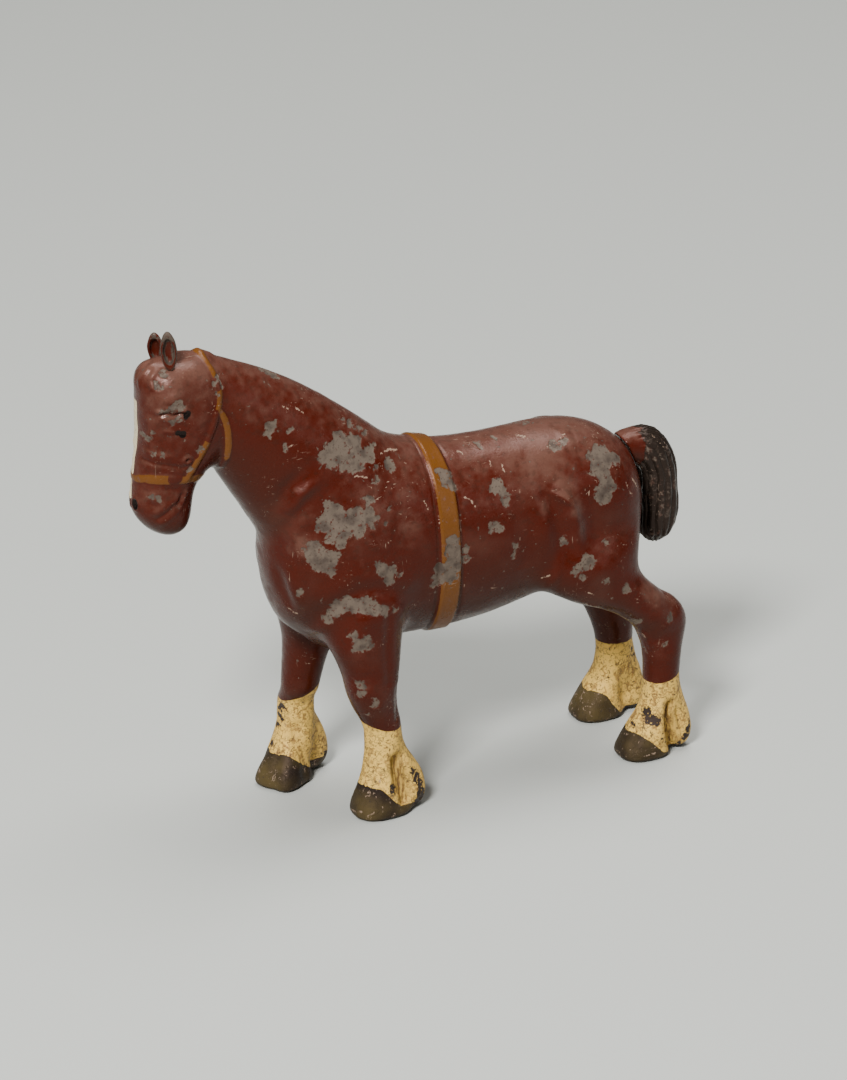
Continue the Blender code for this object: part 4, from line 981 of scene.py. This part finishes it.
def cut_skin():
    """All the pieces of the skin, cut at places that the paint hides."""
    if CUTS:
        return CUTS
    body = cast_skin().mesh
    shade_smooth(body)
    above, below = cut(body, *LEG_CUT, "legs")
    head_end, trunk = cut(above, *SHOULDER_CUT, "shoulder")
    head, neck = cut(head_end, *POLL_CUT, "poll")
    rear, front = cut(trunk, *GIRTH_FRONT_CUT, "girth_front")
    hind, strap = cut(rear, *GIRTH_REAR_CUT, "girth_rear")
    CUTS.update(forebody=front, hindbody=hind, girth_strap=strap, neck=neck, head=head)
    for part in loose_parts(below):
        middle, _ = box(Skin.read(part))
        where = "hind" if middle[0] > 5 else "fore"
        foot = f"{'near' if middle[1] < MID_Y else 'off'}_{where}"
        top = SOCK_TOPS[foot][0]
        upper, lower = cut(part, (0.0, 0.0, top), (0.0, 0.0, 1.0), foot)
        centre, _ = hoof_box(FEET[foot][0])
        level = (HOOF_LINES[foot][0] + HOOF_LINES[foot][1]) / 2
        sock, hoof = cut(lower, (centre[0], 0.0, level), (HOOF_CUT_SLOPE, 0.0, 1.0), foot)
        CUTS.update({f"{foot}_leg": upper, f"{foot}_sock": sock, f"{foot}_hoof": hoof})
    return CUTS


def shade_smooth(mesh):
    mesh.polygons.foreach_set("use_smooth", np.ones(len(mesh.polygons), bool))


def keep_normals(mesh):
    """Shades a cut piece with the normals of the whole skin, so that its cuts don't show."""
    layer = mesh.attributes["skin_normal"]
    held = np.empty(len(mesh.vertices) * 3, np.float32)
    layer.data.foreach_get("vector", held)
    held = held.reshape(-1, 3)
    corners = np.empty(len(mesh.loops), np.int32)
    mesh.loops.foreach_get("vertex_index", corners)
    normals = held[corners]
    for face in mesh.polygons:
        if not face.use_smooth:
            normals[face.loop_start:face.loop_start + face.loop_total] = face.normal
    lengths = np.linalg.norm(normals, axis=1, keepdims=True)
    mesh.normals_split_custom_set((normals / np.maximum(lengths, 1e-6)).tolist())
    mesh.attributes.remove(layer)


def place_piece(name, mesh, nodes, material):
    """Puts a piece into the scene in metres, riding on the casting's one body."""
    mesh.name = name
    mesh.transform(Matrix.Scale(MM, 4))
    keep_normals(mesh)
    mesh.materials.clear()
    mesh.materials.append(material)
    piece = bpy.data.objects.new(name, mesh)
    bpy.context.scene.collection.objects.link(piece)
    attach(piece, "root")
    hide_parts(*nodes)
    return piece


# The ears, with their node, root, tip, facing and width, and the tail

EARS = {
    "near_ear": ("ear_left", (-35.65, -3.25, 68.9), (-35.85, -3.0, 74.5), (-0.42, -0.9, 0.1), 1.14),
    "off_ear": ("ear_right", (-35.75, 1.2, 68.4), (-36.0, 1.2, 72.9), (-0.50, -0.80, 0.1), 1.1),
}
EAR_RIM = 0.80
EAR_HOLLOW = 0.62


def ear(root, tip, facing, width):
    """A leaf-shaped ear: a round back, a thick rolled rim and a deep hollow."""
    form = bmesh.new()
    bmesh.ops.create_uvsphere(form, u_segments=96, v_segments=72, radius=1.0)
    root, tip = Vector(root), Vector(tip)
    up = (tip - root).normalized()
    front = Vector(facing)
    front = (front - up * front.dot(up)).normalized()
    across = up.cross(front)
    half = (tip - root).length / 2
    middle = (root + tip) / 2
    for vert in form.verts:
        u, v, w = vert.co
        out = min(1.0, math.hypot(u, v))
        if w <= 0.0:
            depth = -0.78 * math.sqrt(1.0 - out ** 2)
        elif out > EAR_HOLLOW:
            rim = (out - EAR_RIM) / (1.0 - EAR_RIM)
            depth = 0.34 * math.sqrt(max(0.0, 1.0 - rim ** 2)) if abs(rim) < 1.0 else 0.0
        else:
            depth = -0.5 * math.sqrt(1.0 - (out / EAR_HOLLOW) ** 2)
        leaf = 1.0 - 0.16 * max(0.0, v) ** 2 - 0.10 * max(0.0, -v)
        vert.co = middle + up * (v * half) + across * (u * width * leaf) + front * depth
    bmesh.ops.recalc_face_normals(form, faces=form.faces)
    return form


def ear_mesh(name):
    _, root, tip, facing, width = EARS[name]
    mesh = bpy.data.meshes.new(name)
    form = ear(root, tip, facing, width)
    form.to_mesh(mesh)
    form.free()
    shade_smooth(mesh)
    skin = Skin(name, mesh)
    skin.raise_by(0.03 * wander(skin.points, 0.8, 9))
    _, share = path_distance(skin.points, (root, tip))
    front = skin.normals() @ np.array(Vector(facing).normalized())
    rim = np.maximum(bump(front, 0.55, 0.4), ramp(share, 0.5, 0.9)) - (0.55 if name == "near_ear" else 0.9)
    dim = np.full(len(skin.points), 0.5)
    paint_fields(skin, chip=rim + 0.25 * wander(skin.points, 0.7, 10), dim=dim)
    return skin.mesh


TAIL_LINE = ((33.0, 44.6), (35.0, 45.0), (36.8, 44.3), (37.9, 42.4), (38.4, 39.6), (38.6, 36.0),
             (38.4, 32.0), (38.0, 28.0))
TAIL_STRANDS = 15


def tail_places(points):
    """For each point of the tail: the angle round its middle line, and the share along it."""
    flat = side_view(points)
    line = np.array(TAIL_LINE)
    away, share = path_distance(flat, line)
    stretch = np.minimum((share * (len(line) - 1)).astype(int), len(line) - 2)
    run = (line[1:] - line[:-1])[stretch]
    gap = flat - line[stretch]
    side = np.sign(gap[:, 1] * run[:, 0] - gap[:, 0] * run[:, 1])
    return np.arctan2(points[:, 1] - MID_Y, side * away), share


def tail_mesh():
    """The dock and the bobbed tail, with their long strands."""
    forms = [node_in_mm("dock", GAP_FILL), node_in_mm("tail", GAP_FILL)]
    skin = Skin("bobbed_tail", remeshed(joined(forms), "bobbed_tail", TAIL_GRAIN))
    skin.smooth(np.ones(len(skin.points)), 30)
    angle, share = tail_places(skin.points)
    sway = 1.1 * wander(skin.points, 3.0, 12) + 0.8 * share
    rope = np.abs(np.sin(angle * TAIL_STRANDS / 2 + sway))
    hair = ramp(share, 0.07, 0.2)
    depth = bpy.context.scene.cart_horse_sizes.strand_depth / MM
    fine = 0.05 * wander(skin.points * (1.0, 1.0, 0.25), 0.35, 13)
    skin.raise_by(hair * (depth * (np.sqrt(rope) - 0.85) + fine))
    skin.smooth(np.ones(len(skin.points)), 2)
    points = skin.points
    boundary = 6.0 * (share - 0.14) + 0.25 * wander(points, 0.9, 14)
    outer = ramp(points[:, 0], 39.6, 41.0)
    chip = 0.5 * wander(points, 1.1, 15) + 0.35 * outer - 0.42 + 0.3 * np.sqrt(rope)
    paint_fields(skin, tail=boundary, chip=np.where(share > 0.16, chip - 0.18, -2.0))
    shade_smooth(skin.mesh)
    return skin.mesh


# The finish

class Finish:
    """One procedural material, put together node by node."""

    def __init__(self, name):
        self.material = bpy.data.materials.new(name)
        self.material.use_nodes = True
        self.tree = self.material.node_tree
        self.shader = self.tree.nodes["Principled BSDF"]
        scaled = self.node("ShaderNodeVectorMath", operation="SCALE")
        scaled.inputs["Scale"].default_value = 1.0 / MM
        self.join(self.node("ShaderNodeTexCoord").outputs["Object"], scaled.inputs[0])
        self.place = scaled.outputs[0]
        self.fine = self.less(self.noise(0.35, 3.0), 0.5)
        self.middling = self.less(self.noise(1.3, 3.0), 0.5)
        self.broad = self.noise(7.0, 3.0)
        self.wobble = self.times(self.fine, 0.18)
        self.hollow = self.field("hollow")
        self.sky = self.field("sky")
        self.sock = self.edge("sock")
        self.hoof = self.edge("hoof")

    def node(self, kind, **settings):
        made = self.tree.nodes.new(kind)
        for key, value in settings.items():
            setattr(made, key, value)
        return made

    def join(self, source, socket):
        """Links a socket, or sets it where the source is a plain value."""
        if isinstance(source, bpy.types.NodeSocket):
            self.tree.links.new(source, socket)
        elif isinstance(source, (int, float)):
            socket.default_value = source
        else:
            socket.default_value = (*source, 1.0)

    def field(self, name):
        return self.node("ShaderNodeAttribute", attribute_name=name).outputs["Fac"]

    def noise(self, size, detail=2.0, stretch=None, turn=(0.0, 0.0, 0.0), warp=0.0):
        made = self.node("ShaderNodeTexNoise")
        made.inputs["Scale"].default_value = 1.0 / size
        made.inputs["Detail"].default_value = detail
        made.inputs["Distortion"].default_value = warp
        place = self.place
        if stretch:
            mapping = self.node("ShaderNodeMapping")
            mapping.inputs["Rotation"].default_value = [math.radians(a) for a in turn]
            mapping.inputs["Scale"].default_value = [1.0 / side for side in stretch]
            self.join(place, mapping.inputs["Vector"])
            place = mapping.outputs["Vector"]
        self.join(place, made.inputs["Vector"])
        return made.outputs["Fac"]

    def cracks(self, size, width):
        """Fine branching cracks: one on the crack and nothing beside it."""
        made = self.node("ShaderNodeTexVoronoi", feature="DISTANCE_TO_EDGE")
        made.inputs["Scale"].default_value = 1.0 / size
        bent = self.node("ShaderNodeVectorMath", operation="MULTIPLY_ADD")
        turns = self.node("ShaderNodeTexNoise")
        turns.inputs["Scale"].default_value = 1.6 / size
        self.join(self.place, turns.inputs["Vector"])
        self.join(turns.outputs["Color"], bent.inputs[0])
        bent.inputs[1].default_value = (size, size, size)
        self.join(self.place, bent.inputs[2])
        self.join(bent.outputs[0], made.inputs["Vector"])
        return self.window(made.outputs["Distance"], width, 0.0)

    def maths(self, operation, first, second):
        made = self.node("ShaderNodeMath", operation=operation)
        self.join(first, made.inputs[0])
        self.join(second, made.inputs[1])
        return made.outputs[0]

    def times(self, first, second):
        return self.maths("MULTIPLY", first, second)

    def plus(self, first, second):
        return self.maths("ADD", first, second)

    def less(self, first, second):
        return self.maths("SUBTRACT", first, second)

    def most(self, first, *others):
        """The greatest of several values."""
        for other in others:
            first = self.maths("MAXIMUM", first, other)
        return first

    def edge(self, name, half=0.03):
        """One inside a paint field and nothing outside it, with a softly wandering edge."""
        return self.window(self.plus(self.field(name), self.wobble), -half, half)

    def window(self, value, low, high):
        """A soft step from nothing at the low value to one at the high value."""
        made = self.node("ShaderNodeMapRange", interpolation_type="SMOOTHSTEP")
        self.join(value, made.inputs["Value"])
        made.inputs["From Min"].default_value = low
        made.inputs["From Max"].default_value = high
        return made.outputs["Result"]

    def blend(self, share, under, top, kind="FLOAT"):
        """A mix of two values, with a share of the second one."""
        made = self.node("ShaderNodeMix", data_type=kind)
        self.join(share, made.inputs["Factor"])
        self.join(under, made.inputs["A"])
        self.join(top, made.inputs["B"])
        return made.outputs["Result"]

    def over(self, share, under, top):
        """A mix of two colours, with a share of the second one."""
        return self.blend(share, under, top, "RGBA")


def bay_coat(mix, paints):
    """Bay enamel, lighter with dust and painted sheen where it faces up, darker with painted shade
    underneath, and with spots of dirt.
    """
    # Dust and painted sheen: faces turned up and rubbed places go towards the dusty bay
    dusty = mix.times(mix.window(mix.plus(mix.sky, mix.middling), 0.25, 1.15), 0.7)
    dusty = mix.plus(dusty, mix.times(mix.window(mix.broad, 0.5, 0.72), 0.22))
    coat = mix.over(dusty, paints.bay, paints.bay_dusty)
    # Painted shade: faces turned down go dark; the small spots are dirt
    under = mix.times(mix.window(mix.sky, 0.35, -0.75), 0.6)
    spots = mix.times(mix.window(mix.noise(0.9, 5.0), 0.5, 0.66), 0.26)
    return mix.over(mix.most(under, spots), coat, paints.grime_and_shade)


def blaze_paint(mix, paints, coat):
    specks = mix.window(mix.noise(0.35, 3.0), 0.62, 0.68)
    blaze = mix.over(mix.times(specks, 0.5), paints.blaze, paints.old_lead)
    return mix.over(mix.edge("blaze"), coat, blaze)


def strap_paint(mix, paints, coat):
    worn = mix.window(mix.noise(0.8, 4.0), 0.62, 0.68)
    strap = mix.over(mix.times(worn, 0.6), paints.strap, paints.bay_dusty)
    return mix.over(mix.edge("strap"), coat, strap)


def sock_marks(mix):
    """Fine cracks and specks in the cream enamel."""
    crackle = mix.times(mix.cracks(0.85, 0.08), mix.window(mix.noise(1.7, 3.0), 0.45, 0.55))
    speckle = mix.window(mix.noise(0.42, 5.0, warp=0.8), 0.585, 0.65)
    return mix.most(mix.times(crackle, 0.75), speckle)


def sock_paint(mix, paints, coat, marks):
    """Cream enamel, aged in blots, with its cracks and with brown stain and painted shade in the splits of
    the tufts.
    """
    age = mix.window(mix.plus(mix.middling, mix.fine), 0.02, 0.4)
    cream = mix.over(age, paints.cream, paints.aged_cream)
    blots = mix.window(mix.noise(0.9, 5.0, warp=1.0), 0.52, 0.62)
    sock = mix.over(mix.times(blots, 0.70), cream, paints.aged_cream)
    sock = mix.over(mix.times(marks, 0.82), sock, paints.old_lead)
    hair = mix.window(mix.noise(0.34, 2.0, (1.0, 1.0, 6.0)), 0.4, 0.6)
    tuft = mix.over(mix.times(hair, 0.6), paints.tuft, paints.cream)
    # Brown stain with painted shade down the splits of the tufts
    sock = mix.over(mix.times(mix.field("stain"), 0.95), sock, tuft)
    return mix.over(mix.sock, coat, sock)


def hoof_and_tail_paint(mix, paints, coat):
    hoof = mix.over(mix.window(mix.broad, 0.35, 0.65), paints.hoof, paints.tail)
    tail = mix.over(mix.window(mix.plus(mix.middling, mix.fine), 0.05, 0.35), paints.tail, paints.old_lead)
    return mix.over(mix.edge("tail", 0.05), mix.over(mix.hoof, coat, hoof), tail)


# Strokes: size, stretch, turn in degrees, and the level of the noise above which a stroke shows

STROKES = (
    (0.30, (1.0, 1.0, 10.0), (24.0, 34.0, 0.0), 0.72),
    (0.26, (9.0, 1.0, 1.0), (0.0, 22.0, 30.0), 0.73),
    (0.26, (7.0, 1.0, 1.0), (15.0, -38.0, 10.0), 0.73),
)


def scratches(mix):
    """The long scratches of the photograph, thin strokes in three directions, and scuffs on the hooves."""
    strokes = mix.most(*(mix.window(mix.noise(size, 1.0, stretch, turn, 1.2), low, low + 0.03)
                         for size, stretch, turn, low in STROKES))
    strokes = mix.times(strokes, mix.window(mix.noise(5.0, 3.0), 0.53, 0.64))
    placed = mix.window(mix.plus(mix.field("scratch"), mix.times(mix.fine, 0.7)), 0.0, 0.08)
    scuffs = mix.window(mix.noise(0.95, 3.0, warp=2.5), 0.615, 0.635)
    scuffs = mix.times(scuffs, mix.window(mix.noise(2.2), 0.5, 0.58))
    return mix.most(strokes, placed, mix.times(scuffs, mix.hoof))


def bare_places(mix, chips):
    """Where the paint is gone: its losses with islands left in them, flecks, and edges rubbed through."""
    flecks = mix.window(mix.noise(0.75, 3.0), 0.70, 0.715)
    islands = mix.window(mix.noise(0.55, 4.0), 0.63, 0.66)
    losses = mix.less(mix.window(chips, -0.02, 0.04), mix.times(islands, 0.8))
    edges = mix.window(mix.plus(mix.hollow, mix.times(mix.middling, 0.12)), -0.085, -0.125)
    return mix.most(losses, mix.times(flecks, 0.8), mix.times(edges, 0.75))


def bare_lead(mix, paints):
    """Dull lead with dark spots, darker still on the feet."""
    lead = mix.over(mix.window(mix.noise(1.4, 6.0), 0.30, 0.60), paints.old_lead, paints.lead)
    spots = mix.window(mix.noise(0.40, 5.0), 0.60, 0.66)
    lead = mix.over(mix.times(spots, 0.5), lead, paints.grime_and_shade)
    feet = mix.times(mix.most(mix.sock, mix.hoof), 0.85)
    return mix.over(mix.most(feet, mix.field("dim")), lead, paints.dark_lead)


def roughness(mix, bare):
    rough = mix.blend(mix.window(mix.noise(2.2, 4.0), 0.35, 0.7), 0.22, 0.40)
    rough = mix.blend(mix.most(mix.sock, mix.hoof), rough, 0.52)
    return mix.blend(bare, rough, mix.blend(mix.window(mix.noise(0.7, 3.0), 0.5, 0.62), 0.62, 0.34))


def paint_relief(mix, bare, marks, strokes):
    """The step down to bare lead, the cracks, the scratches and the unevenness of the enamel."""
    height = mix.times(bare, -1.0)
    height = mix.less(height, mix.times(mix.times(marks, mix.sock), 0.8))
    height = mix.plus(height, mix.times(mix.plus(mix.fine, mix.middling), 0.55))
    height = mix.less(height, mix.times(strokes, 0.4))
    relief = mix.node("ShaderNodeBump")
    relief.inputs["Strength"].default_value = 0.8
    relief.inputs["Distance"].default_value = bpy.context.scene.cart_horse_sizes.paint_thickness
    mix.join(height, relief.inputs["Height"])
    return relief.outputs["Normal"]


def enamel(name):
    """Old enamel over lead: the paint fields of the skin choose the colour, the wear and the relief."""
    if name in bpy.data.materials:
        return bpy.data.materials[name]
    paints = bpy.context.scene.cart_horse_colours
    mix = Finish(name)
    marks = sock_marks(mix)
    strokes = scratches(mix)
    chips = mix.plus(mix.field("chip"), mix.times(mix.fine, 0.9))
    bare = bare_places(mix, chips)
    coat = blaze_paint(mix, paints, bay_coat(mix, paints))
    coat = sock_paint(mix, paints, strap_paint(mix, paints, coat), marks)
    coat = hoof_and_tail_paint(mix, paints, coat)
    coat = mix.over(mix.times(strokes, 0.75), coat, paints.scratch)
    # A pale rim of rubbed paint with a painted highlight along the edge of each loss
    rim = mix.less(mix.window(chips, -0.16, -0.02), bare)
    coat = mix.over(mix.times(mix.most(rim, 0.0), 0.35), coat, paints.bay_dusty)
    coat = mix.over(bare, coat, bare_lead(mix, paints))
    coat = mix.over(mix.edge("black"), coat, paints.black)
    # Dirt with painted shade in the hollows: creases and recesses go dark
    grime_and_shade = mix.window(mix.plus(mix.hollow, mix.times(mix.fine, 0.06)), 0.02, 0.13)
    coat = mix.over(mix.times(grime_and_shade, 0.72), coat, paints.grime_and_shade)
    inputs = mix.shader.inputs
    mix.join(coat, inputs["Base Color"])
    mix.join(roughness(mix, bare), inputs["Roughness"])
    mix.join(paint_relief(mix, bare, marks, strokes), inputs["Normal"])
    inputs["Specular IOR Level"].default_value = 0.20
    inputs["Specular Tint"].default_value = (1.0, 0.68, 0.60, 1.0)
    return mix.material


# Operators, one for each piece or group of like pieces

NODE_SIDES = {"near": "left", "off": "right"}
NODE_ENDS = {"fore": "front", "hind": "hind"}
# Pieces: the nodes that each one replaces, and its paint slot

PIECES = {
    "forebody": (("forequarters",), "bay_paint"),
    "hindbody": (("hindquarters",), "bay_paint"),
    "girth_strap": (("girth_band",), "strap_paint"),
    "neck": (("neck", "throat_latch"), "bay_paint"),
    "head": (("head", "muzzle", "noseband", "headstall", "bit_boss_left", "bit_boss_right",
              "forelock"), "bay_paint"),
}
for kind, slot in (("leg", "bay_paint"), ("sock", "sock_paint"), ("hoof", "hoof_paint")):
    for foot in FEET:
        side, end = foot.split("_")
        node = f"{NODE_ENDS[end]}_{NODE_SIDES[side]}_{kind}"
        PIECES[f"{foot}_{kind}"] = ((node,), slot)
FINISHES = {
    "bay_paint": "worn bay enamel",
    "strap_paint": "worn ochre enamel",
    "sock_paint": "crackled cream enamel",
    "hoof_paint": "dark hoof enamel",
    "tail_paint": "dark tail enamel",
}


def lay(*names):
    for name in names:
        nodes, slot = PIECES[name]
        place_piece(f"painted_{name}", cut_skin()[name], nodes, enamel(FINISHES[slot]))


class CARTHORSE_OT_body(bpy.types.Operator):
    """Adds the chest, the quarters and the girth strap"""
    bl_idname = "carthorse.body"
    bl_label = "Body and Girth Strap"

    def execute(self, context):
        lay("forebody", "hindbody", "girth_strap")
        return {"FINISHED"}


class CARTHORSE_OT_head(bpy.types.Operator):
    """Adds the neck and the head with its halter"""
    bl_idname = "carthorse.head"
    bl_label = "Neck and Head"

    def execute(self, context):
        lay("neck", "head")
        return {"FINISHED"}


class CARTHORSE_OT_ears(bpy.types.Operator):
    """Adds the two hollow ears"""
    bl_idname = "carthorse.ears"
    bl_label = "Ears"

    def execute(self, context):
        for name, (node, *_) in EARS.items():
            coat = enamel(FINISHES["bay_paint"])
            place_piece(f"painted_{name}", ear_mesh(name), (node,), coat)
        return {"FINISHED"}


class CARTHORSE_OT_legs(bpy.types.Operator):
    """Adds the four legs"""
    bl_idname = "carthorse.legs"
    bl_label = "Legs"

    def execute(self, context):
        lay(*(f"{foot}_leg" for foot in FEET))
        return {"FINISHED"}


class CARTHORSE_OT_feet(bpy.types.Operator):
    """Adds the four feathered socks and their hooves"""
    bl_idname = "carthorse.feet"
    bl_label = "Feet"

    def execute(self, context):
        lay(*(f"{foot}_sock" for foot in FEET))
        lay(*(f"{foot}_hoof" for foot in FEET))
        return {"FINISHED"}


class CARTHORSE_OT_tail(bpy.types.Operator):
    """Adds the bobbed tail with its dock"""
    bl_idname = "carthorse.tail"
    bl_label = "Tail"

    def execute(self, context):
        place_piece("painted_tail", tail_mesh(), ("dock", "tail"),
                    enamel(FINISHES["tail_paint"]))
        return {"FINISHED"}


# Lamps: place and size in metres, power in watts

LAMPS = {
    "window": ((-0.42, -0.42, 0.60), 0.17, 12.5),
    "overhead": ((0.15, 0.10, 0.85), 0.5, 9.0),
    "front fill": ((0.45, -0.75, 0.30), 0.4, 0.9),
}


LAMP_AIM = (0.0, 0.0, 0.04)
SKY_COLOUR = (1.0, 0.98, 0.95, 1.0)
SKY_STRENGTH = 0.11
FLOOR_ROUGHNESS = 0.8


def place_floor(context):
    """Lays the plain floor."""
    form = bmesh.new()
    half = context.scene.cart_horse_sizes.floor_side / 2
    bmesh.ops.create_grid(form, x_segments=2, y_segments=2, size=half)
    mesh = bpy.data.meshes.new("floor")
    form.to_mesh(mesh)
    form.free()
    floor = bpy.data.objects.new("floor", mesh)
    context.scene.collection.objects.link(floor)
    material = bpy.data.materials.new("plain floor")
    material.use_nodes = True
    shader = material.node_tree.nodes["Principled BSDF"]
    shader.inputs["Base Color"].default_value = (*context.scene.cart_horse_colours.floor, 1.0)
    shader.inputs["Roughness"].default_value = FLOOR_ROUGHNESS
    mesh.materials.append(material)


def place_lights(context):
    """Hangs the soft lamps in a faintly lit room."""
    world = bpy.data.worlds.new("studio")
    world.use_nodes = True
    room = world.node_tree.nodes["Background"]
    room.inputs["Color"].default_value = SKY_COLOUR
    room.inputs["Strength"].default_value = SKY_STRENGTH
    context.scene.world = world
    for name, (place, size, power) in LAMPS.items():
        light = bpy.data.lights.new(name, "AREA")
        light.size = size
        light.energy = power
        lamp = bpy.data.objects.new(name, light)
        lamp.location = place
        aim = Vector(LAMP_AIM) - Vector(place)
        lamp.rotation_euler = aim.to_track_quat("-Z", "Y").to_euler()
        context.scene.collection.objects.link(lamp)


class CARTHORSE_OT_stage(bpy.types.Operator):
    """Adds the plain floor, the soft lights and the camera"""
    bl_idname = "carthorse.stage"
    bl_label = "Stage"

    def execute(self, context):
        place_floor(context)
        place_lights(context)
        place_camera(context)
        return {"FINISHED"}


def place_camera(context):
    """Sets up the camera at the photograph's viewpoint."""
    eye, right, up, forward = viewpoint()
    turned = Matrix((right, up, -forward)).transposed().to_4x4()
    turned.translation = eye
    lens = bpy.data.cameras.new("viewpoint")
    lens.sensor_fit = "HORIZONTAL"
    lens.sensor_width = SENSOR_WIDTH
    lens.lens = LENS_LENGTH
    camera = bpy.data.objects.new("viewpoint", lens)
    camera.matrix_world = turned
    context.scene.collection.objects.link(camera)
    context.scene.camera = camera


OPERATORS = (
    CARTHORSE_OT_body,
    CARTHORSE_OT_head,
    CARTHORSE_OT_ears,
    CARTHORSE_OT_legs,
    CARTHORSE_OT_feet,
    CARTHORSE_OT_tail,
    CARTHORSE_OT_stage,
)


class VIEW3D_PT_cart_horse(bpy.types.Panel):
    """Lists the pieces of the horse"""
    bl_idname = "VIEW3D_PT_cart_horse"
    bl_label = "Cart Horse"
    bl_space_type = "VIEW_3D"
    bl_region_type = "UI"
    bl_category = "Cart Horse"

    def draw(self, context):
        for operator in OPERATORS:
            self.layout.operator(operator.bl_idname)


CLASSES = (CartHorseSizes, CartHorseColours, *OPERATORS, VIEW3D_PT_cart_horse)


def register():
    for cls in CLASSES:
        bpy.utils.register_class(cls)
    bpy.types.Scene.cart_horse_sizes = PointerProperty(type=CartHorseSizes)
    bpy.types.Scene.cart_horse_colours = PointerProperty(type=CartHorseColours)


def unregister():
    del bpy.types.Scene.cart_horse_colours
    del bpy.types.Scene.cart_horse_sizes
    for cls in reversed(CLASSES):
        bpy.utils.unregister_class(cls)


def main():
    register()
    bpy.ops.carthorse.body()
    bpy.ops.carthorse.head()
    bpy.ops.carthorse.ears()
    bpy.ops.carthorse.legs()
    bpy.ops.carthorse.feet()
    bpy.ops.carthorse.tail()
    bpy.ops.carthorse.stage()


if __name__ == "__main__":
    main()
